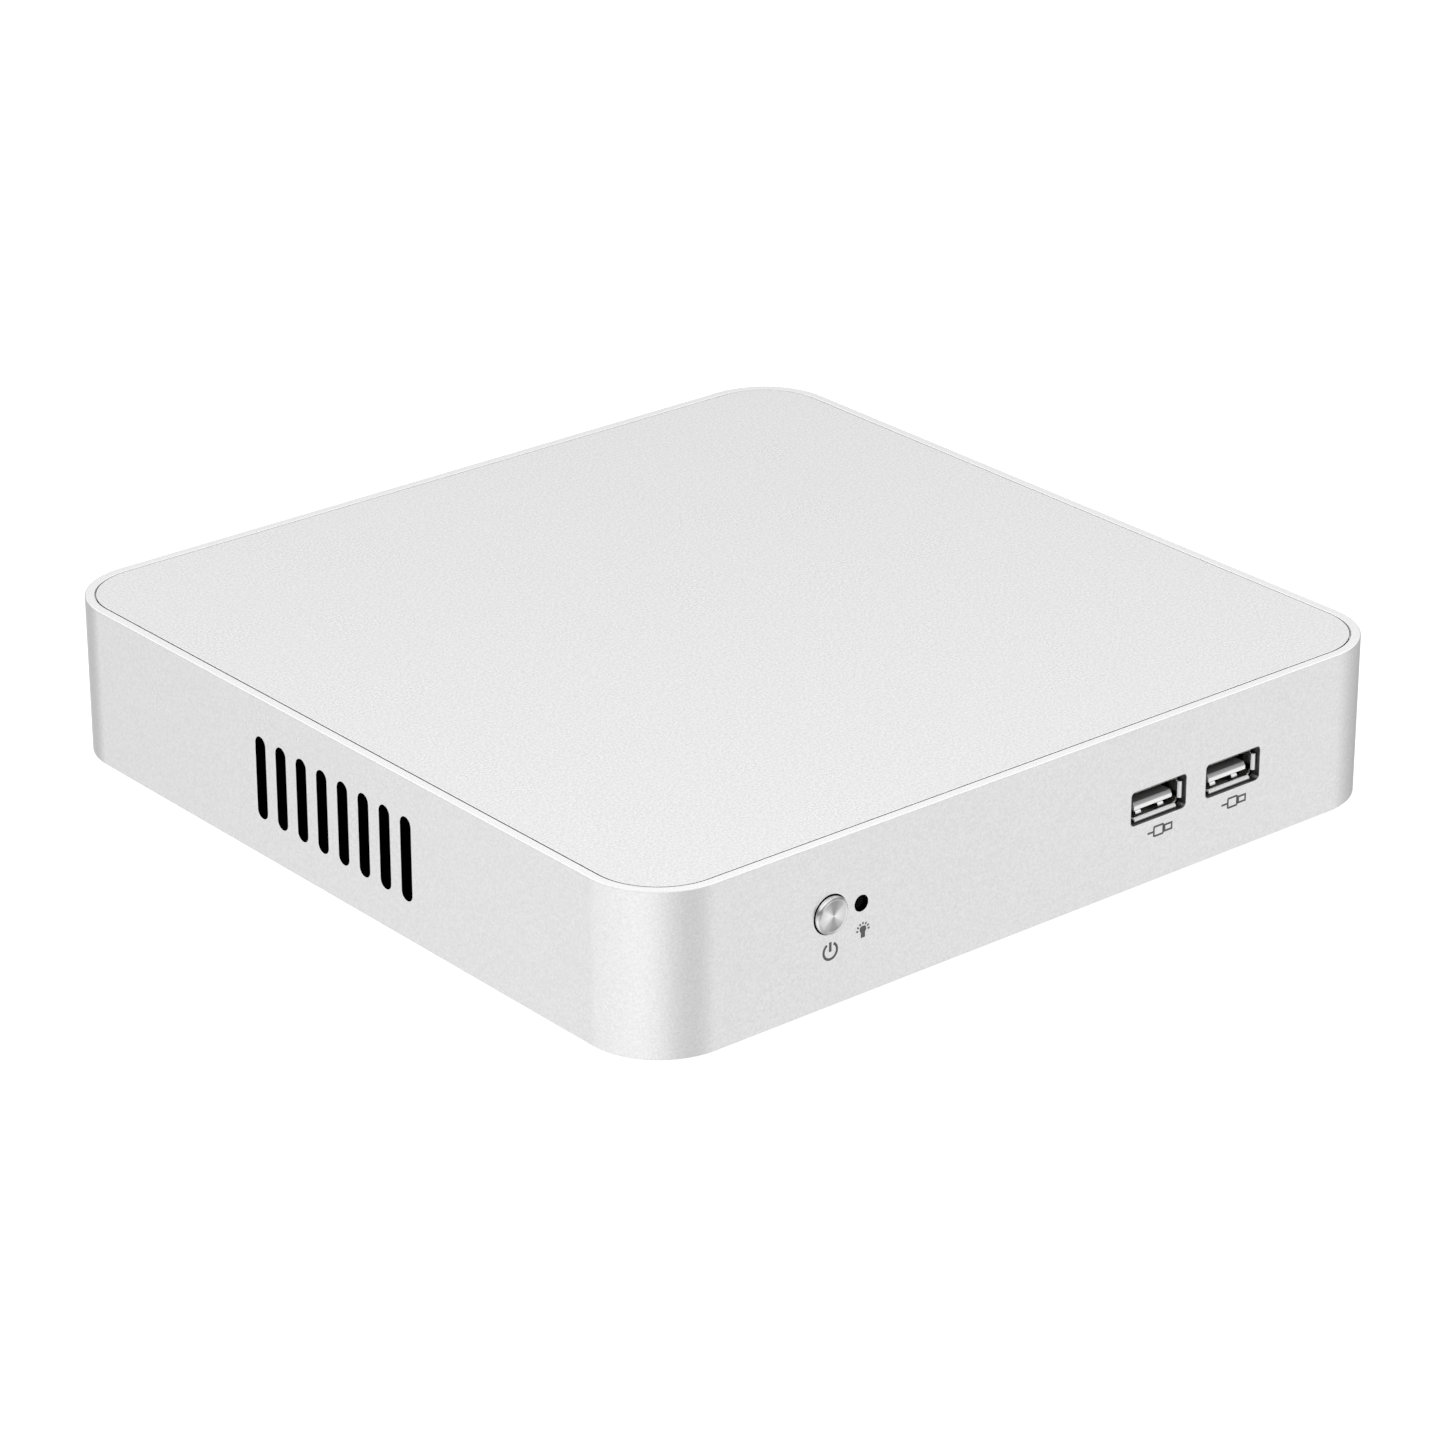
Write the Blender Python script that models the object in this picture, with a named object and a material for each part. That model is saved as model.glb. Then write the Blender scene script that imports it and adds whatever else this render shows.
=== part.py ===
"""A square mini PC in a low aluminium case, modelled as the separate pieces it is assembled from.

Lengths are in millimetres and are turned into metres where a mesh is made. The origin is the
centre of the footprint on the table, +X points right seen from the front, +Y to the back, +Z up.
"""

import math

import bmesh
import bpy
from mathutils import Matrix, Vector

MM = 0.001
GAP = 0.3

# Case
CASE_SIDE = 190.0
CASE_HEIGHT = 33.7
CASE_CORNER = 16.0
EDGE_CHAMFER = 0.25
WALL = 2.0
FOOT_DROP = 1.5
HALF = CASE_SIDE / 2
CASE_BOTTOM = FOOT_DROP
CASE_TOP = FOOT_DROP + CASE_HEIGHT
INNER = HALF - WALL
FRONT = -HALF
REAR = HALF

# Inlaid top panel and the ledge that carries it
PANEL_THICKNESS = 1.0
LEDGE_REACH = 5.0
LEDGE_THICKNESS = 1.0
LEDGE_TOP = CASE_TOP - PANEL_THICKNESS - GAP
LEDGE_UNDERSIDE = LEDGE_TOP - LEDGE_THICKNESS

# Bottom cover, its screws, the posts they go into, and the rubber feet
COVER_THICKNESS = 1.2
COVER_TOP = CASE_BOTTOM + COVER_THICKNESS
POST_PLACE = 85.4
POST_RADIUS = 5.5
POST_HOLE_DEPTH = 9.0
FOOT_PLACE = 75.0
FOOT_RADIUS = 6.5
FOOT_HEIGHT = FOOT_DROP - GAP

# Screw sizes
SHANK_RADIUS = 1.2
THREAD_HOLE_RADIUS = 1.5
CLEARANCE_HOLE_RADIUS = 1.9
COUNTERSINK_RADIUS = 3.3
PAN_HEAD_RADIUS = 2.7
PAN_HEAD_HEIGHT = 1.6

# Vent slots in the left and right walls
SLOT_COUNT = 8
SLOT_PITCH = 6.7
SLOT_HALF_WIDTH = 1.625
SLOT_HALF_LENGTH = 8.6
SLOT_LEVEL = CASE_TOP - 16.9
FILTER_THICKNESS = 0.7
FILTER_HALF_WIDTH = 31.0
FILTER_HALF_HEIGHT = 11.5

# Power button and its lamp
BUTTON_X = -51.9
BUTTON_LEVEL = CASE_TOP - 14.9
BUTTON_HOLE_RADIUS = 4.1
BUTTON_RADIUS = 3.8
BUTTON_FLANGE_RADIUS = 4.8
BUTTON_STEM_RADIUS = 1.5
BUTTON_PROUD = 0.95
BUTTON_TRAVEL = 0.6
FLANGE_THICKNESS = 0.8
LAMP_X = -44.4
LAMP_LEVEL = CASE_TOP - 15.0
LAMP_HOLE_RADIUS = 1.6
LIGHT_PIPE_RADIUS = 1.3
LIGHT_PIPE_RECESS = 0.6
GUIDE_X = (-57.5, -41.2)
GUIDE_FRONT = FRONT + 7.0
GUIDE_THICKNESS = 1.6
GUIDE_TOP = 26.0
STEM_END = FRONT + 10.4
SWITCH_FRONT = FRONT + 12.0
SWITCH_DEPTH = 6.0
SWITCH_HALF_WIDTH = 3.5
SWITCH_HOLE_DEPTH = 2.0
PLUNGER_RADIUS = 1.3
PIPE_END = SWITCH_FRONT - 0.4
PIPE_FLANGE_RADIUS = LIGHT_PIPE_RADIUS + GAP + 0.5
POWER_LAMP_HALF = 2.0
POWER_LAMP_DEPTH = 5.0

# Front USB sockets
USB_X = (31.2, 51.1)
USB_LEVEL = CASE_TOP - 17.0
USB_CUTOUT_HALF = (7.35, 3.6)
USB_CUTOUT_CORNER = 0.9
USB_INSIDE_HALF = (6.2, 2.55)
USB_INSIDE_CORNER = 0.4
USB_SHEET = 0.3
USB_FLARE = 0.8
USB_LIP_DEPTH = 1.3
USB_LENGTH = 14.0
USB_TONGUE_HALF = (5.1, 0.92)
USB_TONGUE_LENGTH = 11.0

# Main board
BOARD_HALF_WIDTH = 86.0
BOARD_FRONT = -90.0
BOARD_REAR = 88.0
BOARD_NOTCH = 12.0
BOARD_THICKNESS = 1.6
BOARD_TOP = 14.3
BOARD_UNDERSIDE = BOARD_TOP - BOARD_THICKNESS
ON_BOARD = BOARD_TOP + GAP
STANDOFF_PLACES = ((-72.0, -70.0), (72.0, -70.0), (-72.0, 70.0), (72.0, 70.0))
STANDOFF_RADIUS = 3.0
STANDOFF_HOLE_DEPTH = 7.0

# Processor and cooler
CPU_CENTRE = (-60.0, 0.0)
CPU_HALF = (12.0, 14.0)
CPU_HEIGHT = 1.0
DIE_HALF = (5.0, 7.0)
DIE_HEIGHT = 0.6
PAD_HALF = (6.0, 8.0)
HEATSINK_BASE = 17.3
HEATSINK_BASE_THICKNESS = 2.0
HEATSINK_TOP = 30.8
HEATSINK_X = (-90.0, -44.0)
HEATSINK_HALF_DEPTH = 33.0
FIN_COUNT = 20
FIN_THICKNESS = 0.9
HEATSINK_EAR_X = -67.0
HEATSINK_EAR_Y = 38.0
HEATSINK_EAR_HALF = 5.0
FAN_CENTRE = (-10.0, 0.0)
FAN_HALF = 32.0
FAN_BOTTOM = 17.3
FAN_TOP = 31.5
FAN_SKIN = 1.2
FAN_CAVITY_RADIUS = 28.5
FAN_INTAKE_RADIUS = 19.0
FAN_POST_RADIUS = 2.0
FAN_POST_TOP = 26.0
FAN_EAR_PLACES = ((25.2, -26.0), (25.2, 26.0))
FAN_EAR_RADIUS = 3.8
FAN_EAR_TOP = 19.5
FAN_PLUG_CENTRE = (27.0, 43.0)
FAN_PLUG_HALF = 3.0
FAN_PLUG_HEIGHT = 5.0
FAN_LEAD_X = 14.0
FAN_LEAD_RADIUS = 0.9
FAN_LEAD_RISE = 2.5
ROTOR_HUB_RADIUS = 11.0
ROTOR_RADIUS = 26.0
ROTOR_BOTTOM = 19.6
ROTOR_TOP = 29.4
ROTOR_BORE_TOP = 26.6
BLADE_COUNT = 17
BLADE_THICKNESS = 1.0
BLADE_LEAN = math.radians(24)

# Memory module and its socket
MODULE_X = (36.5, 66.7)
MODULE_HALF_LENGTH = 33.8
MODULE_BOTTOM = 17.3
MODULE_THICKNESS = 1.2
CHIP_COUNT = 4
CHIP_PITCH = 15.5
CHIP_INSET = 6.0
CHIP_WIDTH = 14.0
CHIP_HALF_LENGTH = 5.5
CHIP_HEIGHT = 1.0
SOCKET_X = (64.0, 71.0)
SOCKET_HALF_LENGTH = 38.8
SOCKET_TOP = 20.0
SOCKET_ARM_FRONT = 44.0
SOCKET_ARM_THICKNESS = 1.4
SOCKET_ARM_TOP = 19.0
LATCH_PIVOT_X = 59.5
LATCH_TIP_X = 44.5
LATCH_Y = 34.8
LATCH_HALF_THICKNESS = 0.4
LATCH_BOTTOM = 16.2
LATCH_RISE = 1.2
LATCH_HOOK_LENGTH = 3.0

# Clock battery
CELL_CENTRE = (0.0, -64.0)
CELL_RADIUS = 10.0
CELL_HEIGHT = 3.2
CELL_BOTTOM = ON_BOARD + 1.1
CELL_STEP = 0.8
HOLDER_WALL = 1.5
HOLDER_RISE = 2.2

# Drive bay under the board
DRIVE_HALF = (50.0, 34.9)
DRIVE_BOTTOM = COVER_TOP + 1.6
DRIVE_HEIGHT = 7.0
BRACKET_HALF_LENGTH = 46.0
BRACKET_SHEET = 1.0
DRIVE_SCREW_X = -38.0
DRIVE_SCREW_LEVEL = DRIVE_BOTTOM + 3.0
DRIVE_SCREW_HEAD_RADIUS = 2.2
DRIVE_SCREW_HEAD_HEIGHT = 1.2
DRIVE_SOCKET_DEPTH = 6.0
DRIVE_SOCKET_HALF_LENGTH = 21.0

# Rear sockets: the middle of each opening, then half sizes and radii from the outside in
DC_PLACE = (68.0, 20.6)
DC_OPENING_RADIUS = 4.6
DC_NOSE_RADIUS = 4.2
DC_BORE_RADIUS = 3.0
DC_PIN_RADIUS = 1.1
DC_PIN_TIP_RADIUS = 0.5
DC_BODY_HALF_WIDTH = 4.5
DC_BODY_HEIGHT = 11.0
JACK_BODY_DEPTH = 12.0

VGA_PLACE = (41.0, 21.4)
VGA_SLANT = 1.2
VGA_CORNER = 1.2
VGA_OPENING_HALF = (8.9, 4.8)
VGA_SHELL_HALF = (8.4, 4.2)
VGA_INSIDE_HALF = (7.9, 3.7)
VGA_INSERT_HALF = (7.5, 3.3)
VGA_FLANGE_HALF = (15.6, 6.2)
VGA_FLANGE_DEPTH = 6.4
VGA_FLANGE_THICKNESS = 0.8
VGA_NUT_REACH = 12.5
VGA_NUT_RADIUS = 2.8
VGA_NUT_OPENING_RADIUS = 3.2
VGA_BLOCK_HALF_WIDTH = 15.0
VGA_BLOCK_DEPTH = 8.0
VGA_BLOCK_RISE = 5.5

HDMI_PLACE = (13.0, 17.9)
HDMI_HALF = (7.0, 2.25)
HDMI_CORNER = 1.6
HDMI_CLEARANCE = 0.8
HDMI_SHEET = 0.4
HDMI_DEPTH = 11.0
HDMI_TONGUE_HALF_WIDTH = 5.2
HDMI_TONGUE_LEVELS = (0.1, 1.1)

LAN_PLACE = (-9.0, 21.4)
LAN_OPENING_HALF = (8.3, 7.1)
LAN_BLOCK_HALF_WIDTH = 7.9
LAN_BLOCK_DEPTH = 21.0
LAN_BLOCK_RISE = 6.7
LAN_MOUTH_HALF_WIDTH = 5.9
LAN_MOUTH_LEVELS = (-4.4, 2.6)
LAN_MOUTH_DEPTH = 15.0
LAN_NOTCH_HALF_WIDTH = 3.1
LAN_NOTCH_LEVELS = (2.0, 5.2)

REAR_USB_PLACE = (-31.0, 22.5)
REAR_USB_OPENING_HALF = (7.7, 8.3)
REAR_USB_HALF_WIDTH = 7.2
REAR_USB_SHEET = 0.5
REAR_USB_DEPTH = 17.0
REAR_USB_DIVIDER_HALF = 1.6
REAR_USB_REACH = 4.7
REAR_USB_TONGUE_HALF_WIDTH = 5.6
REAR_USB_TONGUE_LEVELS = (-0.2, 1.6)

AUDIO_PLACE = (-51.0, 18.6)
AUDIO_OPENING_RADIUS = 3.4
AUDIO_NOSE_RADIUS = 3.0
AUDIO_BORE_RADIUS = 1.8
AUDIO_BORE_DEPTH = 13.5
AUDIO_BODY_HALF_WIDTH = 5.0
AUDIO_BODY_RISE = 4.5

CORNER_STEPS = 8
ROUND_STEPS = 24
FINE_STEPS = 32
SCREW_STEPS = 12
PIN_STEPS = 16
SOCKET_STEPS = 20
SMALL_CORNER_STEPS = 3
SOCKET_CORNER_STEPS = 2


# Outlines: lists of (u, v) points


def circle(radius, centre=(0.0, 0.0), steps=ROUND_STEPS):
    """Points round a circle."""
    angles = [2 * math.pi * step / steps for step in range(steps)]
    return [(centre[0] + radius * math.cos(a), centre[1] + radius * math.sin(a)) for a in angles]


def rectangle(low, high):
    """The four corners of a rectangle."""
    return [(low[0], low[1]), (high[0], low[1]), (high[0], high[1]), (low[0], high[1])]


def rounded_rectangle(half_u, half_v, radius, centre=(0.0, 0.0), steps=SMALL_CORNER_STEPS):
    """A rectangle about a centre, each corner an arc."""
    points = []
    for quarter, (side_u, side_v) in enumerate(((1, 1), (-1, 1), (-1, -1), (1, -1))):
        arc_u = centre[0] + side_u * (half_u - radius)
        arc_v = centre[1] + side_v * (half_v - radius)
        for step in range(steps + 1):
            angle = (quarter + step / steps) * math.pi / 2
            points.append((arc_u + radius * math.cos(angle), arc_v + radius * math.sin(angle)))
    return points


def case_outline(inset):
    """The case's square plan with round corners, drawn in by an inset."""
    half = HALF - inset
    return rounded_rectangle(half, half, CASE_CORNER - inset, steps=CORNER_STEPS)


def stadium(half_width, half_length, centre, steps=6):
    """An upright slot outline with fully round ends."""
    points = []
    for end, first in ((1, 0.0), (-1, math.pi)):
        for step in range(steps + 1):
            angle = first + math.pi * step / steps
            across = half_width * math.cos(angle)
            along = end * (half_length - half_width) + half_width * math.sin(angle)
            points.append((centre[0] + across, centre[1] + along))
    return points


def mirrored(right, centre):
    """An outline from its right half, which runs upwards, and that half's mirror image."""
    left = [(-u, v) for u, v in reversed(right)]
    return [(centre[0] + u, centre[1] + v) for u, v in right + left]


def d_outline(half, centre):
    """The D of a display socket: wider at the top than at the bottom, corners cut."""
    half_width, half_height = half
    right = [
        (half_width - VGA_SLANT - VGA_CORNER, -half_height),
        (half_width - VGA_SLANT, -half_height + VGA_CORNER),
        (half_width, half_height - VGA_CORNER),
        (half_width - VGA_CORNER, half_height),
    ]
    return mirrored(right, centre)


def hdmi_outline(grow, centre):
    """The flat socket outline with its two lower corners cut away."""
    half_width, half_height = HDMI_HALF[0] + grow, HDMI_HALF[1] + grow
    right = [
        (half_width - HDMI_CORNER, -half_height),
        (half_width, -half_height + HDMI_CORNER),
        (half_width, half_height),
    ]
    return mirrored(right, centre)


# Solids


def to_xyz(axis, u, v, w):
    """Place a point of a shape drawn along an axis: u and v lie across it, w lies along it."""
    if axis == "X":
        return (w, u, v)
    if axis == "Y":
        return (u, w, v)
    return (u, v, w)


def skin(name, loops, ring=False):
    """Join loops of points into one closed solid, capped at both ends or joined in a ring."""
    shape = bmesh.new()
    loops = [[shape.verts.new(point * MM) for point in loop] for loop in loops]
    pairs = list(zip(loops, loops[1:]))
    if ring:
        pairs.append((loops[-1], loops[0]))
    else:
        shape.faces.new(loops[0])
        shape.faces.new(loops[-1])
    for lower, upper in pairs:
        for here in range(len(lower)):
            after = (here + 1) % len(lower)
            shape.faces.new((lower[here], lower[after], upper[after], upper[here]))
    bmesh.ops.recalc_face_normals(shape, faces=shape.faces)
    mesh = bpy.data.meshes.new(name)
    shape.to_mesh(mesh)
    shape.free()
    piece = bpy.data.objects.new(name, mesh)
    bpy.context.scene.collection.objects.link(piece)
    return piece


def loft(name, sections, axis="Z", ring=False):
    """Join outlines at successive levels along an axis into one closed solid."""
    loops = [[Vector(to_xyz(axis, u, v, level)) for u, v in outline] for outline, level in sections]
    return skin(name, loops, ring)


def prism(name, outline, low, high, axis="Z"):
    """Extrude an outline between two levels."""
    return loft(name, [(outline, low), (outline, high)], axis)


def box(name, low, high):
    """A block between two corners."""
    return prism(name, rectangle(low[:2], high[:2]), low[2], high[2])


def turned(name, profile, centre, axis="Z", steps=ROUND_STEPS, ring=False):
    """Turn a profile of (radius, level) pairs about an axis through a centre."""
    sections = [(circle(radius, centre, steps), level) for radius, level in profile]
    return loft(name, sections, axis, ring)


def combine(piece, tools, operation):
    """Apply one Boolean for each tool, then discard the tools."""
    for tool in tools:
        modifier = piece.modifiers.new(tool.name, "BOOLEAN")
        modifier.operation = operation
        modifier.solver = "EXACT"
        modifier.object = tool
    bpy.context.view_layer.update()
    evaluated = piece.evaluated_get(bpy.context.evaluated_depsgraph_get())
    mesh = bpy.data.meshes.new_from_object(evaluated)
    mesh.name = piece.name
    piece.modifiers.clear()
    piece.data = mesh
    for tool in tools:
        bpy.data.objects.remove(tool)
    return piece


def cut(piece, *tools):
    """Take the tools' volumes away from a piece."""
    return combine(piece, tools, "DIFFERENCE")


def fuse(piece, *tools):
    """Join the tools to a piece as one body."""
    return combine(piece, tools, "UNION")


def hole(place, radius, low, high, axis="Z", steps=ROUND_STEPS):
    """A round cutter."""
    return prism("hole", circle(radius, place, steps), low, high, axis)


# Materials and placing


def material(name, colour, roughness, metallic=0.0):
    """A Principled material in one plain finish."""
    finish = bpy.data.materials.new(name)
    finish.use_nodes = True
    shader = finish.node_tree.nodes["Principled BSDF"]
    shader.inputs["Base Color"].default_value = (*colour, 1.0)
    shader.inputs["Roughness"].default_value = roughness
    shader.inputs["Metallic"].default_value = metallic
    return finish


def empty(name, place, parent=None):
    """A named point that pieces hang under."""
    point = bpy.data.objects.new(name, None)
    point.empty_display_size = 10 * MM
    point.parent = parent
    point.location = Vector(place) * MM
    bpy.context.scene.collection.objects.link(point)
    return point


def settle(piece, finish, origin=(0.0, 0.0, 0.0), parent=None):
    """Give a piece its finish and smooth shading, its own origin, and its parent."""
    place = Vector(origin) * MM
    piece.data.transform(Matrix.Translation(-place))
    piece.data.materials.append(finish)
    piece.parent = parent
    piece.location = place - parent.location if parent else place
    if piece.type == "MESH":
        piece.data.shade_smooth()
        piece.data.set_sharp_from_angle(angle=math.radians(32))
    return piece


def screw(name, place, head_level, tip_level, head_radius, head_height, axis="Z"):
    """A pan-head screw: the head's underside is at head_level and the shank runs to the tip."""
    outwards = 1 if head_level > tip_level else -1
    profile = [
        (SHANK_RADIUS * 0.7, tip_level),
        (SHANK_RADIUS, tip_level + 0.5 * outwards),
        (SHANK_RADIUS, head_level),
        (head_radius, head_level),
        (head_radius, head_level + 0.6 * head_height * outwards),
        (head_radius * 0.75, head_level + head_height * outwards),
    ]
    return turned(name, profile, place, axis, SCREW_STEPS)


# Case pieces


def slot_cutters(side):
    """The vent slots of one side wall, centred on the case's depth."""
    inside, outside = side * (INNER - 1.0), side * (HALF + 1.0)
    cutters = []
    for index in range(SLOT_COUNT):
        middle = (index - (SLOT_COUNT - 1) / 2) * SLOT_PITCH
        outline = stadium(SLOT_HALF_WIDTH, SLOT_HALF_LENGTH, (middle, SLOT_LEVEL))
        cutters.append(prism("slot", outline, inside, outside, "X"))
    return cutters


def front_cutters():
    """Openings in the front wall for the button, its lamp and the USB sockets."""
    outside, inside = FRONT - 1.0, FRONT + WALL + 1.0
    cutters = [
        hole((BUTTON_X, BUTTON_LEVEL), BUTTON_HOLE_RADIUS, outside, inside, "Y", FINE_STEPS),
        hole((LAMP_X, LAMP_LEVEL), LAMP_HOLE_RADIUS, outside, inside, "Y"),
    ]
    for middle in USB_X:
        outline = rounded_rectangle(*USB_CUTOUT_HALF, USB_CUTOUT_CORNER, (middle, USB_LEVEL))
        cutters.append(prism("usb_opening", outline, outside, inside, "Y"))
    return cutters


def rear_cutters():
    """Openings in the rear wall for the sockets."""
    inside, outside = INNER - 1.0, REAR + 1.0
    outlines = [
        circle(DC_OPENING_RADIUS, DC_PLACE),
        d_outline(VGA_OPENING_HALF, VGA_PLACE),
        *(circle(VGA_NUT_OPENING_RADIUS, place, SCREW_STEPS) for place in vga_nut_places()),
        hdmi_outline(HDMI_CLEARANCE, HDMI_PLACE),
        rounded_rectangle(*LAN_OPENING_HALF, 0.4, LAN_PLACE, SOCKET_CORNER_STEPS),
        rounded_rectangle(*REAR_USB_OPENING_HALF, 0.4, REAR_USB_PLACE, SOCKET_CORNER_STEPS),
        circle(AUDIO_OPENING_RADIUS, AUDIO_PLACE),
    ]
    return [prism("rear_opening", outline, inside, outside, "Y") for outline in outlines]


def vga_nut_places():
    """The two threaded nuts beside the display socket."""
    x, level = VGA_PLACE
    return [(x - VGA_NUT_REACH, level), (x + VGA_NUT_REACH, level)]


def corner_places(reach):
    """The four corners of a centred square."""
    return [(x * reach, y * reach) for y in (-1, 1) for x in (-1, 1)]


def make_body_frame(finish, parent):
    """The one-piece wall with its top rim, inner ledge and four screw posts."""
    profile = [
        (0.0, CASE_BOTTOM),
        (0.0, CASE_TOP - EDGE_CHAMFER),
        (EDGE_CHAMFER, CASE_TOP),
        (WALL, CASE_TOP),
        (WALL, LEDGE_TOP),
        (LEDGE_REACH, LEDGE_TOP),
        (LEDGE_REACH, LEDGE_UNDERSIDE),
        (WALL, LEDGE_UNDERSIDE),
        (WALL, CASE_BOTTOM),
    ]
    sections = [(case_outline(inset), level) for inset, level in profile]
    frame = loft("body_frame", sections, ring=True)
    post_bottom = COVER_TOP + GAP
    posts = []
    holes = []
    for place in corner_places(POST_PLACE):
        outline = circle(POST_RADIUS, place)
        posts.append(prism("post", outline, post_bottom, LEDGE_UNDERSIDE + LEDGE_THICKNESS / 2))
        hole_top = post_bottom + POST_HOLE_DEPTH
        holes.append(hole(place, THREAD_HOLE_RADIUS, COVER_TOP - 1.0, hole_top, steps=SCREW_STEPS))
    fuse(frame, *posts)
    cut(frame, *holes)
    cut(frame, *slot_cutters(-1), *slot_cutters(1), *front_cutters(), *rear_cutters())
    return settle(frame, finish, (0, 0, CASE_BOTTOM), parent)


def make_top_panel(finish, parent):
    """The flat plate let into the top of the frame."""
    inset = WALL + GAP
    soft_edge = 0.15
    sections = [
        (case_outline(inset), CASE_TOP - PANEL_THICKNESS),
        (case_outline(inset), CASE_TOP - soft_edge),
        (case_outline(inset + soft_edge), CASE_TOP),
    ]
    return settle(loft("top_panel", sections), finish, (0, 0, CASE_TOP), parent)


def make_bottom_cover(finish, parent):
    """The sheet that closes the bottom, with pressed-in standoffs for the board."""
    cover = prism("bottom_cover", case_outline(WALL + GAP), CASE_BOTTOM, COVER_TOP)
    standoffs = []
    holes = []
    standoff_top = BOARD_UNDERSIDE - GAP
    for place in STANDOFF_PLACES:
        outline = circle(STANDOFF_RADIUS, place, SCREW_STEPS)
        standoffs.append(prism("standoff", outline, COVER_TOP - 0.5, standoff_top))
        ends = (standoff_top - STANDOFF_HOLE_DEPTH, standoff_top + 1.0)
        holes.append(hole(place, THREAD_HOLE_RADIUS, *ends, steps=SCREW_STEPS))
    fuse(cover, *standoffs)
    countersink = [
        (COUNTERSINK_RADIUS, CASE_BOTTOM - 1.0),
        (COUNTERSINK_RADIUS, CASE_BOTTOM),
        (CLEARANCE_HOLE_RADIUS, COVER_TOP + 0.05),
        (CLEARANCE_HOLE_RADIUS, COVER_TOP + 1.0),
    ]
    for place in corner_places(POST_PLACE):
        holes.append(turned("countersink", countersink, place, steps=SCREW_STEPS))
    cut(cover, *holes)
    return settle(cover, finish, (0, 0, CASE_BOTTOM), parent)


def make_cover_screws(finish, parent):
    """Countersunk screws up through the bottom cover into the frame's posts."""
    face = CASE_BOTTOM + 0.05
    profile = [
        (COUNTERSINK_RADIUS - GAP, face),
        (SHANK_RADIUS + GAP, COVER_TOP - 0.1),
        (SHANK_RADIUS, COVER_TOP + 0.2),
        (SHANK_RADIUS, COVER_TOP + 7.0),
        (SHANK_RADIUS * 0.7, COVER_TOP + 7.5),
    ]
    for number, place in enumerate(corner_places(POST_PLACE), 1):
        piece = turned(f"cover_screw_{number}", profile, place, steps=SCREW_STEPS)
        settle(piece, finish, (*place, face), parent)


def make_feet(finish, parent):
    """Four round rubber feet."""
    soft_edge = 0.5
    profile = [
        (FOOT_RADIUS - soft_edge, 0.0),
        (FOOT_RADIUS, soft_edge),
        (FOOT_RADIUS, FOOT_HEIGHT),
    ]
    for number, place in enumerate(corner_places(FOOT_PLACE), 1):
        settle(turned(f"rubber_foot_{number}", profile, place), finish, (*place, 0), parent)


def make_dust_filters(finish, parent):
    """The dark mesh sheets behind the vent slots."""
    for name, side in (("dust_filter_left", -1), ("dust_filter_right", 1)):
        outer = side * (INNER - GAP)
        inner = side * (INNER - GAP - FILTER_THICKNESS)
        half = (FILTER_HALF_WIDTH, FILTER_HALF_HEIGHT)
        outline = rounded_rectangle(*half, 1.5, (0, SLOT_LEVEL), SOCKET_CORNER_STEPS)
        piece = prism(name, outline, inner, outer, "X")
        settle(piece, finish, (outer, 0, SLOT_LEVEL), parent)


# Power button, its spring and switch, and the lamp beside it


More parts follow.
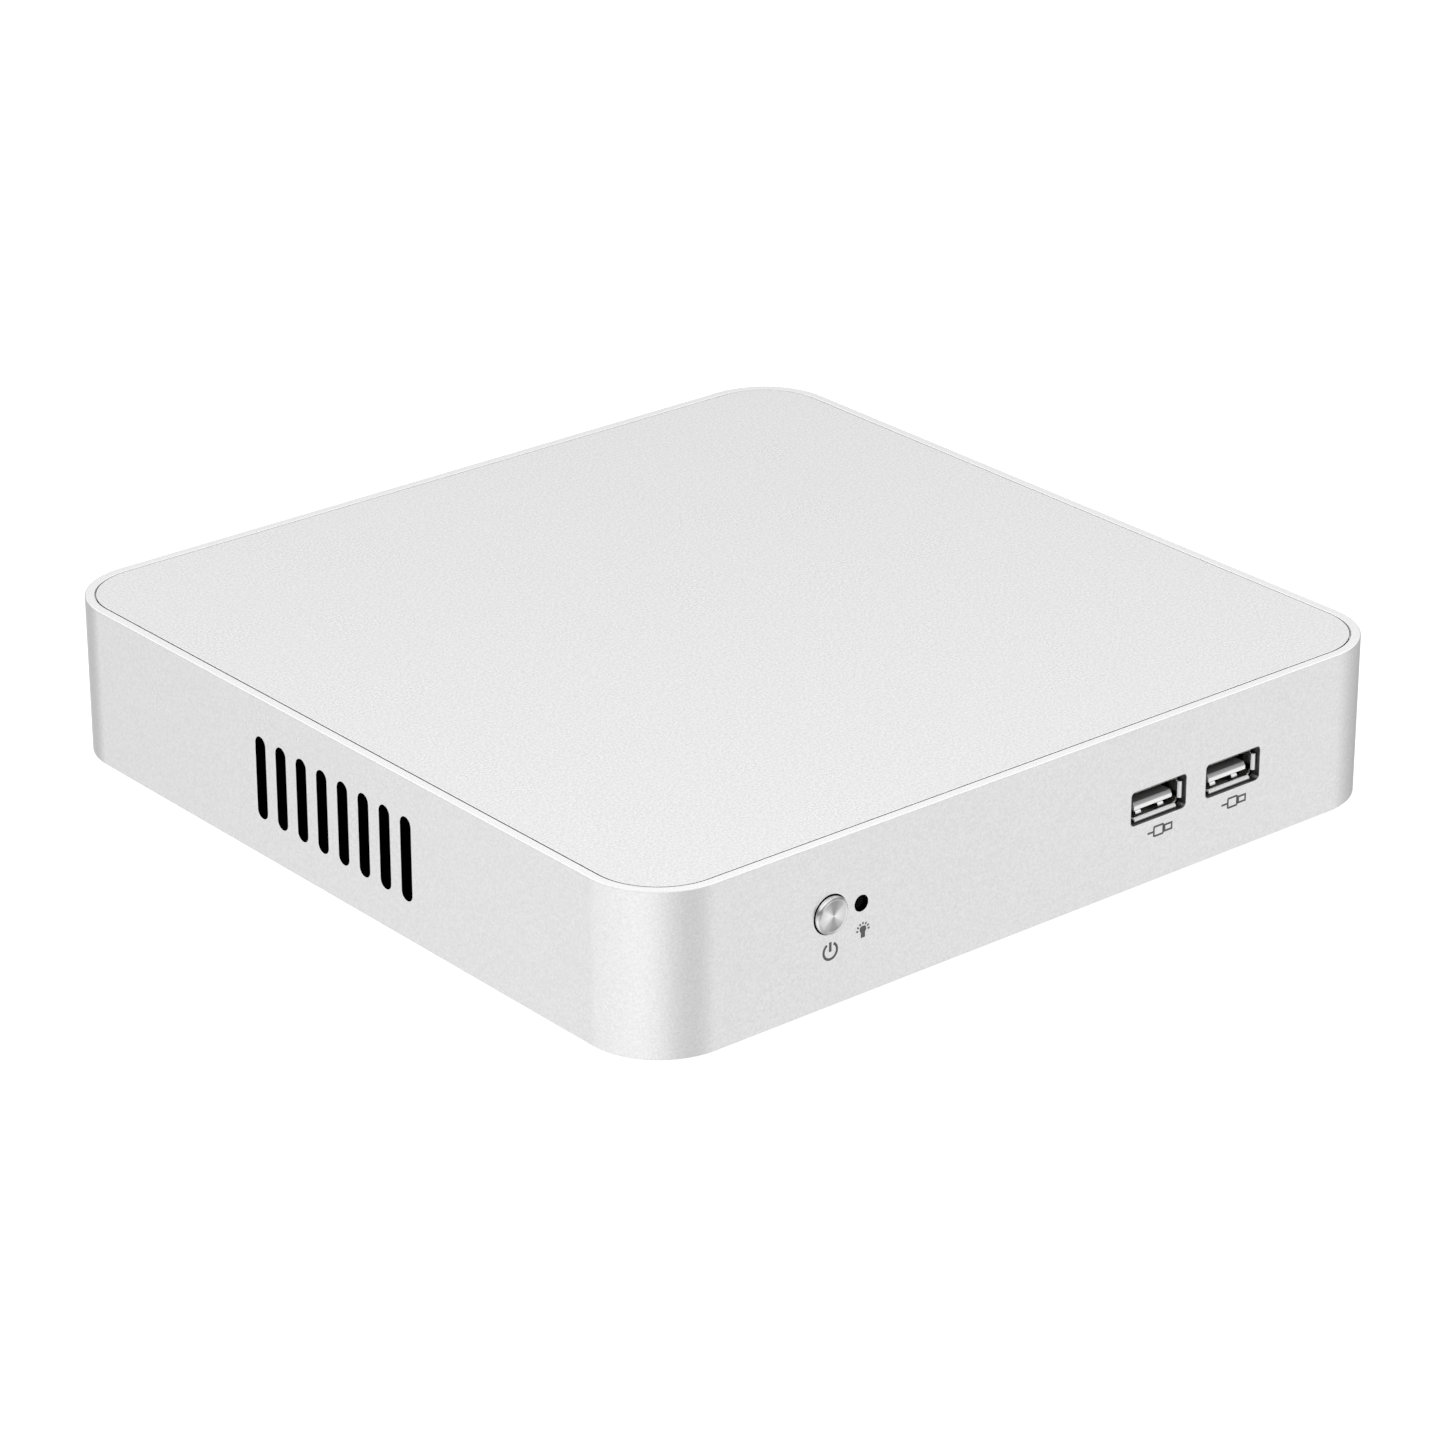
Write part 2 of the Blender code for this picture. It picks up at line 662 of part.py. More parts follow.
def make_power_button(cap_finish, spring_finish, guide_finish, switch_finish, parent, axis_point):
    """The metal cap on its stem, the return spring, the guide, the switch and its plunger."""
    centre = (BUTTON_X, BUTTON_LEVEL)
    face = FRONT - BUTTON_PROUD
    flange_front = FRONT + WALL + GAP
    flange_back = flange_front + FLANGE_THICKNESS
    profile = [
        (BUTTON_RADIUS - 0.7, face),
        (BUTTON_RADIUS - 0.25, face + 0.12),
        (BUTTON_RADIUS, face + 0.5),
        (BUTTON_RADIUS, flange_front),
        (BUTTON_FLANGE_RADIUS, flange_front),
        (BUTTON_FLANGE_RADIUS, flange_back),
        (BUTTON_STEM_RADIUS, flange_back),
        (BUTTON_STEM_RADIUS, STEM_END),
    ]
    origin = (BUTTON_X, FRONT, BUTTON_LEVEL)
    cap = turned("power_button_cap", profile, centre, "Y", FINE_STEPS)
    settle(cap, cap_finish, origin, axis_point)

    spring = make_spring("button_spring", flange_back + GAP, GUIDE_FRONT - GAP)
    settle(spring, spring_finish, (BUTTON_X, GUIDE_FRONT - GAP, BUTTON_LEVEL), parent)

    guide_back = GUIDE_FRONT + GUIDE_THICKNESS
    guide_low = (GUIDE_X[0], GUIDE_FRONT, ON_BOARD)
    guide_high = (GUIDE_X[1], guide_back, GUIDE_TOP)
    guide = box("button_guide", guide_low, guide_high)
    stem_hole = hole(centre, BUTTON_STEM_RADIUS + GAP, GUIDE_FRONT - 1, guide_back + 1, "Y")
    pipe_place = (LAMP_X, LAMP_LEVEL)
    pipe_hole = hole(pipe_place, LIGHT_PIPE_RADIUS + GAP, GUIDE_FRONT - 1, guide_back + 1, "Y")
    cut(guide, stem_hole, pipe_hole)
    settle(guide, guide_finish, (BUTTON_X, GUIDE_FRONT, ON_BOARD), parent)

    switch_low = (BUTTON_X - SWITCH_HALF_WIDTH, SWITCH_FRONT, ON_BOARD)
    switch_high = (BUTTON_X + SWITCH_HALF_WIDTH, SWITCH_FRONT + SWITCH_DEPTH, BUTTON_LEVEL + 4.0)
    switch = box("power_switch", switch_low, switch_high)
    bore_end = SWITCH_FRONT + SWITCH_HOLE_DEPTH
    cut(switch, hole(centre, PLUNGER_RADIUS + GAP, SWITCH_FRONT - 1, bore_end, "Y"))
    settle(switch, switch_finish, (BUTTON_X, SWITCH_FRONT, ON_BOARD), parent)

    plunger_outline = circle(PLUNGER_RADIUS, centre, PIN_STEPS)
    plunger_end = bore_end - BUTTON_TRAVEL - GAP
    plunger = prism("switch_plunger", plunger_outline, STEM_END + GAP, plunger_end, "Y")
    settle(plunger, switch_finish, origin, axis_point)


def make_spring(name, front, back):
    """A coil spring round the button's stem, between two levels along Y."""
    wire_radius = 0.25
    wire_sides = 6
    coil_radius = 2.7
    turns = 3.5
    steps_per_turn = 14
    pitch = (back - front - 2 * wire_radius) / turns
    loops = []
    for step in range(round(turns * steps_per_turn) + 1):
        angle = 2 * math.pi * step / steps_per_turn
        outwards = Vector((math.cos(angle), 0, math.sin(angle)))
        level = front + wire_radius + pitch * step / steps_per_turn
        middle = Vector((BUTTON_X, level, BUTTON_LEVEL)) + outwards * coil_radius
        loop = []
        for side in range(wire_sides):
            turn = 2 * math.pi * side / wire_sides
            offset = outwards * math.cos(turn) + Vector((0, 1, 0)) * math.sin(turn)
            loop.append(middle + offset * wire_radius)
        loops.append(loop)
    return skin(name, loops)


def make_lamp(pipe_finish, lamp_finish, parent):
    """The light pipe behind its hole and the lamp on the board that shines into it."""
    flange_front = FRONT + WALL + GAP
    flange_back = flange_front + FLANGE_THICKNESS
    profile = [
        (LIGHT_PIPE_RADIUS, FRONT + LIGHT_PIPE_RECESS),
        (LIGHT_PIPE_RADIUS, flange_front),
        (PIPE_FLANGE_RADIUS, flange_front),
        (PIPE_FLANGE_RADIUS, flange_back),
        (LIGHT_PIPE_RADIUS, flange_back),
        (LIGHT_PIPE_RADIUS, PIPE_END),
    ]
    pipe = turned("light_pipe", profile, (LAMP_X, LAMP_LEVEL), "Y", PIN_STEPS)
    settle(pipe, pipe_finish, (LAMP_X, FRONT, LAMP_LEVEL), parent)
    lamp_front = PIPE_END + GAP
    low = (LAMP_X - POWER_LAMP_HALF, lamp_front, ON_BOARD)
    high = (LAMP_X + POWER_LAMP_HALF, lamp_front + POWER_LAMP_DEPTH, LAMP_LEVEL + POWER_LAMP_HALF)
    settle(box("power_lamp", low, high), lamp_finish, (LAMP_X, lamp_front, ON_BOARD), parent)


# Front USB sockets


def make_front_usb(shell_finish, plastic_finish, parent):
    """Two USB sockets side by side, each a flared sheet shell round a plastic tongue."""
    lip = FRONT + USB_LIP_DEPTH
    back = lip + USB_LENGTH
    half_u, half_v = USB_INSIDE_HALF
    profile = [
        (0.0, back),
        (0.0, lip + 0.8),
        (USB_FLARE - 0.15, lip),
        (USB_FLARE, lip + 0.15),
        (USB_SHEET, lip + 1.1),
        (USB_SHEET, back),
    ]
    for number, middle in enumerate(USB_X, 1):
        centre = (middle, USB_LEVEL)
        sections = []
        for grow, level in profile:
            corner = USB_INSIDE_CORNER + grow
            sections.append((rounded_rectangle(half_u + grow, half_v + grow, corner, centre), level))
        shell = loft(f"front_usb_shell_{number}", sections, "Y", ring=True)
        settle(shell, shell_finish, (middle, lip, USB_LEVEL), parent)

        tongue_front = lip + GAP
        tongue_u, tongue_v = USB_TONGUE_HALF
        tongue_back = tongue_front + USB_TONGUE_LENGTH
        low = (middle - tongue_u, tongue_front, USB_LEVEL - tongue_v)
        high = (middle + tongue_u, tongue_back + 0.5, USB_LEVEL + tongue_v)
        tongue = box(f"front_usb_tongue_{number}", low, high)
        plug_low = (middle - half_u + GAP, tongue_back, USB_LEVEL - half_v + GAP)
        plug_high = (middle + half_u - GAP, back, USB_LEVEL + half_v - GAP)
        fuse(tongue, box("block", plug_low, plug_high))
        settle(tongue, plastic_finish, (middle, tongue_front, USB_LEVEL), parent)


# Board, processor and cooler


def make_mainboard(finish, parent):
    """The circuit board, its corners notched clear of the frame's posts."""
    low_x, high_x = -BOARD_HALF_WIDTH, BOARD_HALF_WIDTH
    notch = BOARD_NOTCH
    outline = [
        (low_x + notch, BOARD_FRONT),
        (high_x - notch, BOARD_FRONT),
        (high_x - notch, BOARD_FRONT + notch),
        (high_x, BOARD_FRONT + notch),
        (high_x, BOARD_REAR - notch),
        (high_x - notch, BOARD_REAR - notch),
        (high_x - notch, BOARD_REAR),
        (low_x + notch, BOARD_REAR),
        (low_x + notch, BOARD_REAR - notch),
        (low_x, BOARD_REAR - notch),
        (low_x, BOARD_FRONT + notch),
        (low_x + notch, BOARD_FRONT + notch),
    ]
    board = prism("mainboard", outline, BOARD_UNDERSIDE, BOARD_TOP)
    under, over = BOARD_UNDERSIDE - 1, BOARD_TOP + 1
    holes = []
    for place in STANDOFF_PLACES:
        holes.append(hole(place, CLEARANCE_HOLE_RADIUS, under, over, steps=SCREW_STEPS))
    for place in cooler_screw_places():
        holes.append(hole(place, THREAD_HOLE_RADIUS, under, over, steps=SCREW_STEPS))
    cut(board, *holes)
    return settle(board, finish, (0, 0, BOARD_TOP), parent)


def heatsink_screw_places():
    """One screw in each heatsink ear."""
    return [(HEATSINK_EAR_X, -HEATSINK_EAR_Y), (HEATSINK_EAR_X, HEATSINK_EAR_Y)]


def cooler_screw_places():
    """The board holes that hold the heatsink and the fan."""
    return heatsink_screw_places() + list(FAN_EAR_PLACES)


def make_board_screws(finish, parent):
    """Pan-head screws down through the board into the standoffs."""
    for number, place in enumerate(STANDOFF_PLACES, 1):
        tip = BOARD_UNDERSIDE - STANDOFF_HOLE_DEPTH + 0.7
        piece = screw(f"board_screw_{number}", place, ON_BOARD, tip, PAN_HEAD_RADIUS, PAN_HEAD_HEIGHT)
        settle(piece, finish, (*place, ON_BOARD), parent)


def block_on(name, centre, half, bottom, top):
    """A block about an upright line, between two levels."""
    low = (centre[0] - half[0], centre[1] - half[1], bottom)
    high = (centre[0] + half[0], centre[1] + half[1], top)
    return box(name, low, high)


def make_processor(chip_finish, pad_finish, parent):
    """The processor package with its raised die, and the thermal pad on it."""
    package_top = ON_BOARD + CPU_HEIGHT
    die_top = package_top + DIE_HEIGHT
    pad_bottom = die_top + GAP
    package = block_on("processor", CPU_CENTRE, CPU_HALF, ON_BOARD, package_top)
    fuse(package, block_on("die", CPU_CENTRE, DIE_HALF, package_top - 0.5, die_top))
    settle(package, chip_finish, (*CPU_CENTRE, ON_BOARD), parent)
    pad = block_on("thermal_pad", CPU_CENTRE, PAD_HALF, pad_bottom, HEATSINK_BASE - GAP)
    settle(pad, pad_finish, (*CPU_CENTRE, pad_bottom), parent)


def make_heatsink(finish, parent):
    """A base plate with upright fins running towards the left vents, and two screw ears."""
    base_top = HEATSINK_BASE + HEATSINK_BASE_THICKNESS
    pitch = (2 * HEATSINK_HALF_DEPTH - FIN_THICKNESS) / (FIN_COUNT - 1)
    outline = [(-HEATSINK_HALF_DEPTH, HEATSINK_BASE), (HEATSINK_HALF_DEPTH, HEATSINK_BASE)]
    for fin in reversed(range(FIN_COUNT)):
        near = -HEATSINK_HALF_DEPTH + fin * pitch
        far = near + FIN_THICKNESS
        fin_points = [(far, base_top), (far, HEATSINK_TOP), (near, HEATSINK_TOP), (near, base_top)]
        if fin == FIN_COUNT - 1:
            fin_points = fin_points[1:]
        if fin == 0:
            fin_points = fin_points[:-1]
        outline += fin_points
    heatsink = prism("heatsink", outline, *HEATSINK_X, axis="X")
    ears = []
    holes = []
    for place in heatsink_screw_places():
        side = math.copysign(1, place[1])
        reach = HEATSINK_EAR_Y + HEATSINK_EAR_HALF
        inner, outer = sorted((side * (HEATSINK_HALF_DEPTH - 0.5), side * reach))
        low = (place[0] - HEATSINK_EAR_HALF, inner, HEATSINK_BASE)
        high = (place[0] + HEATSINK_EAR_HALF, outer, base_top)
        ears.append(box("ear", low, high))
        holes.append(hole(place, THREAD_HOLE_RADIUS, HEATSINK_BASE - 1, base_top + 1, steps=SCREW_STEPS))
    fuse(heatsink, *ears)
    cut(heatsink, *holes)
    return settle(heatsink, finish, (*CPU_CENTRE, HEATSINK_BASE), parent)


def make_fan(housing_finish, rotor_finish, parent, axis_point):
    """A flat blower: its housing opens towards the heatsink, and the rotor turns on a post."""
    x, y = FAN_CENTRE
    low = (x - FAN_HALF, y - FAN_HALF, FAN_BOTTOM)
    high = (x + FAN_HALF, y + FAN_HALF, FAN_TOP)
    housing = box("fan_housing", low, high)
    floor, ceiling = FAN_BOTTOM + FAN_SKIN, FAN_TOP - FAN_SKIN
    chamber = hole(FAN_CENTRE, FAN_CAVITY_RADIUS, floor, ceiling, steps=FINE_STEPS)
    mouth_low = (x - FAN_HALF - 1, y - FAN_CAVITY_RADIUS, floor)
    mouth_high = (x - 5, y + FAN_CAVITY_RADIUS, ceiling)
    fuse(chamber, box("mouth", mouth_low, mouth_high))
    intake = hole(FAN_CENTRE, FAN_INTAKE_RADIUS, ceiling - 1, FAN_TOP + 1, steps=FINE_STEPS)
    cut(housing, chamber, intake)
    post = circle(FAN_POST_RADIUS, FAN_CENTRE, PIN_STEPS)
    parts = [prism("post", post, floor - 0.5, FAN_POST_TOP)]
    holes = []
    for place in FAN_EAR_PLACES:
        parts.append(prism("ear", circle(FAN_EAR_RADIUS, place, PIN_STEPS), ON_BOARD, FAN_EAR_TOP))
        holes.append(hole(place, THREAD_HOLE_RADIUS, ON_BOARD - 1, FAN_EAR_TOP + 1, steps=SCREW_STEPS))
    fuse(housing, *parts)
    cut(housing, *holes)
    settle(housing, housing_finish, (x, y, FAN_BOTTOM), parent)

    rotor = prism("fan_rotor", rotor_outline(), ROTOR_BOTTOM, ROTOR_TOP)
    bore_radius = FAN_POST_RADIUS + GAP
    cut(rotor, hole(FAN_CENTRE, bore_radius, ROTOR_BOTTOM - 1, ROTOR_BORE_TOP, steps=PIN_STEPS))
    settle(rotor, rotor_finish, (x, y, ROTOR_BOTTOM), axis_point)


def rotor_outline():
    """The hub with thin blades that lean back, as one outline."""
    points = []
    blade_angle = 2 * math.pi / BLADE_COUNT
    radii = (ROTOR_HUB_RADIUS, (ROTOR_HUB_RADIUS + ROTOR_RADIUS) / 2, ROTOR_RADIUS)
    for blade in range(BLADE_COUNT):
        first = blade * blade_angle
        leading = []
        trailing = []
        for radius in radii:
            lean = BLADE_LEAN * (radius - ROTOR_HUB_RADIUS) / (ROTOR_RADIUS - ROTOR_HUB_RADIUS)
            half_turn = BLADE_THICKNESS / 2 / radius
            leading.append((radius, first + lean - half_turn))
            trailing.append((radius, first + lean + half_turn))
        for radius, angle in leading + trailing[::-1]:
            x = FAN_CENTRE[0] + radius * math.cos(angle)
            y = FAN_CENTRE[1] + radius * math.sin(angle)
            points.append((x, y))
    return points


def make_cooler_screws(finish, parent):
    """Screws that hold the heatsink's and the fan's ears to the board."""
    tip = BOARD_UNDERSIDE + GAP
    heatsink_top = HEATSINK_BASE + HEATSINK_BASE_THICKNESS
    jobs = [
        ("heatsink_screw", heatsink_screw_places(), heatsink_top + GAP),
        ("fan_screw", FAN_EAR_PLACES, FAN_EAR_TOP + GAP),
    ]
    for name, places, head_level in jobs:
        for number, place in enumerate(places, 1):
            piece = screw(f"{name}_{number}", place, head_level, tip, PAN_HEAD_RADIUS, PAN_HEAD_HEIGHT)
            settle(piece, finish, (*place, head_level), parent)


def make_fan_lead(lead_finish, plug_finish, parent):
    """The fan's short lead and the plug where it meets the board."""
    plug_half = (FAN_PLUG_HALF, FAN_PLUG_HALF)
    plug = block_on("fan_plug", FAN_PLUG_CENTRE, plug_half, ON_BOARD, ON_BOARD + FAN_PLUG_HEIGHT)
    settle(plug, plug_finish, (*FAN_PLUG_CENTRE, ON_BOARD), parent)

    start = Vector((FAN_LEAD_X, FAN_CENTRE[1] + FAN_HALF + GAP, FAN_BOTTOM + FAN_LEAD_RISE))
    plug_x, plug_y = FAN_PLUG_CENTRE
    end = Vector((plug_x - FAN_PLUG_HALF - GAP, plug_y, ON_BOARD + FAN_LEAD_RISE))
    reach = 7.0
    start_pull = start + Vector((0, reach, 0))
    end_pull = end - Vector((reach, 0, 0))
    steps = 12
    curve = bpy.data.curves.new("fan_lead", "CURVE")
    curve.dimensions = "3D"
    curve.bevel_depth = FAN_LEAD_RADIUS * MM
    curve.bevel_resolution = 2
    curve.use_fill_caps = True
    spline = curve.splines.new("POLY")
    spline.points.add(steps)
    for step, point in enumerate(spline.points):
        t = step / steps
        place = (
            start * (1 - t) ** 3
            + start_pull * 3 * t * (1 - t) ** 2
            + end_pull * 3 * t**2 * (1 - t)
            + end * t**3
        )
        point.co = (*(place * MM), 1.0)
    lead = bpy.data.objects.new("fan_lead", curve)
    bpy.context.scene.collection.objects.link(lead)
    settle(lead, lead_finish, tuple(start), parent)


# Memory, clock battery and drive


def make_memory(socket_finish, module_finish, latch_finish, parent):
    """The memory socket with its side arms, the module lying in it, and two spring latches."""
    near, far = SOCKET_X
    socket_low = (near, -SOCKET_HALF_LENGTH, ON_BOARD)
    socket_high = (far, SOCKET_HALF_LENGTH, SOCKET_TOP)
    socket = box("memory_socket", socket_low, socket_high)
    arm_inside = SOCKET_HALF_LENGTH - SOCKET_ARM_THICKNESS
    arms = []
    for side in (-1, 1):
        inner, outer = sorted((side * arm_inside, side * SOCKET_HALF_LENGTH))
        arms.append(box("arm", (SOCKET_ARM_FRONT, inner, ON_BOARD), (near + 1, outer, SOCKET_ARM_TOP)))
    fuse(socket, *arms)
    module_top = MODULE_BOTTOM + MODULE_THICKNESS
    mouth_low = (near - 1, -MODULE_HALF_LENGTH - GAP, MODULE_BOTTOM - GAP)
    mouth_high = (MODULE_X[1] + GAP, MODULE_HALF_LENGTH + GAP, module_top + GAP)
    cut(socket, box("mouth", mouth_low, mouth_high))
    settle(socket, socket_finish, (far, 0, ON_BOARD), parent)

    low = (MODULE_X[0], -MODULE_HALF_LENGTH, MODULE_BOTTOM)
    high = (MODULE_X[1], MODULE_HALF_LENGTH, module_top)
    module = box("memory_module", low, high)
    chips = []
    chip_near = MODULE_X[0] + CHIP_INSET
    for row in range(CHIP_COUNT):
        middle = (row - (CHIP_COUNT - 1) / 2) * CHIP_PITCH
        chip_low = (chip_near, middle - CHIP_HALF_LENGTH, module_top - 0.3)
        chip_high = (chip_near + CHIP_WIDTH, middle + CHIP_HALF_LENGTH, module_top + CHIP_HEIGHT)
        chips.append(box("chip", chip_low, chip_high))
    fuse(module, *chips)
    settle(module, module_finish, (MODULE_X[1], 0, MODULE_BOTTOM), parent)

    for name, side in (("memory_latch_front", -1), ("memory_latch_rear", 1)):
        make_latch(name, side, module_top, latch_finish, parent)


def make_latch(name, side, module_top, finish, parent):
    """A flat spring arm whose tip reaches over the module's edge."""
    y = side * LATCH_Y
    thin = LATCH_HALF_THICKNESS
    latch_top = module_top + LATCH_RISE
    arm_low = (LATCH_TIP_X, y - thin, LATCH_BOTTOM)
    arm_high = (LATCH_PIVOT_X + thin, y + thin, latch_top)
    arm = box(name, arm_low, arm_high)
    hook_inner, hook_outer = sorted((side * (MODULE_HALF_LENGTH - 1.0), y))
    hook_low = (LATCH_TIP_X, hook_inner, module_top + GAP)
    hook_high = (LATCH_TIP_X + LATCH_HOOK_LENGTH, hook_outer, latch_top)
    fuse(arm, box("hook", hook_low, hook_high))
    settle(arm, finish, (LATCH_PIVOT_X, y, module_top), parent)


def make_clock_battery(holder_finish, cell_finish, parent):
    """A coin cell in its round holder."""
    inside = CELL_RADIUS + GAP
    holder_top = CELL_BOTTOM + HOLDER_RISE
    profile = [
        (inside + HOLDER_WALL, ON_BOARD),
        (inside + HOLDER_WALL, holder_top),
        (inside, holder_top),
        (inside, CELL_BOTTOM - GAP),
    ]
    holder = turned("cell_holder", profile, CELL_CENTRE)
    settle(holder, holder_finish, (*CELL_CENTRE, ON_BOARD), parent)
    profile = [
        (CELL_RADIUS - CELL_STEP, CELL_BOTTOM),
        (CELL_RADIUS - CELL_STEP, CELL_BOTTOM + 0.6),
        (CELL_RADIUS, CELL_BOTTOM + 1.0),
        (CELL_RADIUS, CELL_BOTTOM + CELL_HEIGHT),
    ]
    cell = turned("coin_cell", profile, CELL_CENTRE)
    settle(cell, cell_finish, (*CELL_CENTRE, CELL_BOTTOM), parent)


def make_drive(drive_finish, bracket_finish, socket_finish, screw_finish, parent):
    """A slim drive in its folded bracket, the socket it plugs into, and two side screws."""
    half_x, half_y = DRIVE_HALF
    top = DRIVE_BOTTOM + DRIVE_HEIGHT
    drive = box("drive", (-half_x, -half_y, DRIVE_BOTTOM), (half_x, half_y, top))
    flange_inner = half_y + GAP
    flange_outer = flange_inner + BRACKET_SHEET
    sheet_bottom = COVER_TOP + GAP
    outline = [
        (-flange_outer, sheet_bottom),
        (flange_outer, sheet_bottom),
        (flange_outer, top - 0.5),
        (flange_inner, top - 0.5),
        (flange_inner, DRIVE_BOTTOM - GAP),
        (-flange_inner, DRIVE_BOTTOM - GAP),
        (-flange_inner, top - 0.5),
        (-flange_outer, top - 0.5),
    ]
    bracket = prism("drive_bracket", outline, -BRACKET_HALF_LENGTH, BRACKET_HALF_LENGTH, "X")
    place = (DRIVE_SCREW_X, DRIVE_SCREW_LEVEL)
    drive_holes = []
    bracket_holes = []
    for side in (-1, 1):
        mouth, end = side * (half_y + 1), side * (half_y - 4)
        drive_holes.append(hole(place, THREAD_HOLE_RADIUS, mouth, end, "Y", SCREW_STEPS))
        mouth, end = side * (flange_inner - 1), side * (flange_outer + 1)
        bracket_holes.append(hole(place, CLEARANCE_HOLE_RADIUS, mouth, end, "Y", SCREW_STEPS))
    cut(drive, *drive_holes)
    cut(bracket, *bracket_holes)
    settle(drive, drive_finish, (0, 0, DRIVE_BOTTOM), parent)
    settle(bracket, bracket_finish, (0, 0, sheet_bottom), parent)
    for number, side in enumerate((-1, 1), 1):
        head = side * (flange_outer + GAP)
        tip = side * (half_y - 3)
        head_size = (DRIVE_SCREW_HEAD_RADIUS, DRIVE_SCREW_HEAD_HEIGHT)
        piece = screw(f"drive_screw_{number}", place, head, tip, *head_size, "Y")
        settle(piece, screw_finish, (DRIVE_SCREW_X, head, DRIVE_SCREW_LEVEL), parent)
    socket_near = half_x + GAP
    socket_top = BOARD_UNDERSIDE - GAP
    socket_low = (socket_near, -DRIVE_SOCKET_HALF_LENGTH, DRIVE_BOTTOM)
    socket_high = (socket_near + DRIVE_SOCKET_DEPTH, DRIVE_SOCKET_HALF_LENGTH, socket_top)
    socket = box("drive_socket", socket_low, socket_high)
    settle(socket, socket_finish, (socket_near, 0, socket_top), parent)


# Rear sockets


def make_dc_jack(finish, parent):
    """The power inlet: a block with a round nose, a deep socket and a centre pin."""
    x, level = DC_PLACE
    face = REAR + 0.2
    nose_back = INNER - GAP
    body_low = (x - DC_BODY_HALF_WIDTH, nose_back - JACK_BODY_DEPTH, ON_BOARD)
    body_high = (x + DC_BODY_HALF_WIDTH, nose_back, ON_BOARD + DC_BODY_HEIGHT)
    jack = box("dc_inlet", body_low, body_high)
    fuse(jack, prism("nose", circle(DC_NOSE_RADIUS, DC_PLACE), nose_back - 1.0, face, "Y"))
    bottom = face - 9.5
    pin_face = face - 0.8
    profile = [
        (DC_BORE_RADIUS, bottom),
        (DC_BORE_RADIUS, face + 1.0),
        (DC_PIN_TIP_RADIUS, face + 1.0),
        (DC_PIN_TIP_RADIUS, pin_face),
        (DC_PIN_RADIUS, pin_face - 0.4),
        (DC_PIN_RADIUS, bottom),
    ]
    cut(jack, turned("socket", profile, DC_PLACE, "Y", SOCKET_STEPS, ring=True))
    cut(jack, hole(DC_PLACE, DC_PIN_TIP_RADIUS + 0.1, pin_face, face + 2.0, "Y", 8))
    settle(jack, finish, (x, face, level), parent)


def make_vga_socket(shell_finish, plastic_finish, parent):
    """The display socket: a D shell on its flange with two threaded nuts, and its insert."""
    x, level = VGA_PLACE
    face = REAR + 0.4
    flange_back = face - VGA_FLANGE_DEPTH
    flange_front = flange_back + VGA_FLANGE_THICKNESS
    joint = flange_front - VGA_FLANGE_THICKNESS / 2
    flange = rounded_rectangle(*VGA_FLANGE_HALF, 1.0, VGA_PLACE, SOCKET_CORNER_STEPS)
    shell = prism("vga_shell", flange, flange_back, flange_front, "Y")
    fuse(shell, prism("wall", d_outline(VGA_SHELL_HALF, VGA_PLACE), joint, face, "Y"))
    nuts = []
    nut_holes = []
    for place in vga_nut_places():
        nuts.append(prism("nut", circle(VGA_NUT_RADIUS, place, 6), joint, face - 1.2, "Y"))
        nut_holes.append(hole(place, THREAD_HOLE_RADIUS, flange_front, face + 1.0, "Y", SCREW_STEPS))
    fuse(shell, *nuts)
    inside = prism("inside", d_outline(VGA_INSIDE_HALF, VGA_PLACE), flange_back - 1.0, face + 1.0, "Y")
    cut(shell, inside, *nut_holes)
    settle(shell, shell_finish, (x, face, level), parent)

    insert_outline = d_outline(VGA_INSERT_HALF, VGA_PLACE)
    insert = prism("vga_insert", insert_outline, flange_back - 1.0, face - 0.5, "Y")
    block_low = (x - VGA_BLOCK_HALF_WIDTH, flange_back - VGA_BLOCK_DEPTH, ON_BOARD)
    block_high = (x + VGA_BLOCK_HALF_WIDTH, flange_back - GAP, level + VGA_BLOCK_RISE)
    fuse(insert, box("block", block_low, block_high))
    settle(insert, plastic_finish, (x, face, level), parent)


def make_hdmi_socket(shell_finish, plastic_finish, parent):
    """The flat video socket: a sheet shell and the tongue inside it."""
    x, level = HDMI_PLACE
    face = REAR + 0.2
    back = face - HDMI_DEPTH
    outer = hdmi_outline(HDMI_SHEET, HDMI_PLACE)
    inner = hdmi_outline(0.0, HDMI_PLACE)
    sections = [(outer, back), (outer, face), (inner, face), (inner, back)]
    shell = loft("hdmi_shell", sections, "Y", ring=True)
    settle(shell, shell_finish, (x, face, level), parent)
    tongue = prism("hdmi_tongue", hdmi_outline(-GAP, HDMI_PLACE), back, back + 3.0, "Y")
    under, over = HDMI_TONGUE_LEVELS
    low = (x - HDMI_TONGUE_HALF_WIDTH, back + 2.5, level + under)
    high = (x + HDMI_TONGUE_HALF_WIDTH, face - 1.0, level + over)
    fuse(tongue, box("tongue", low, high))
    settle(tongue, plastic_finish, (x, face, level), parent)


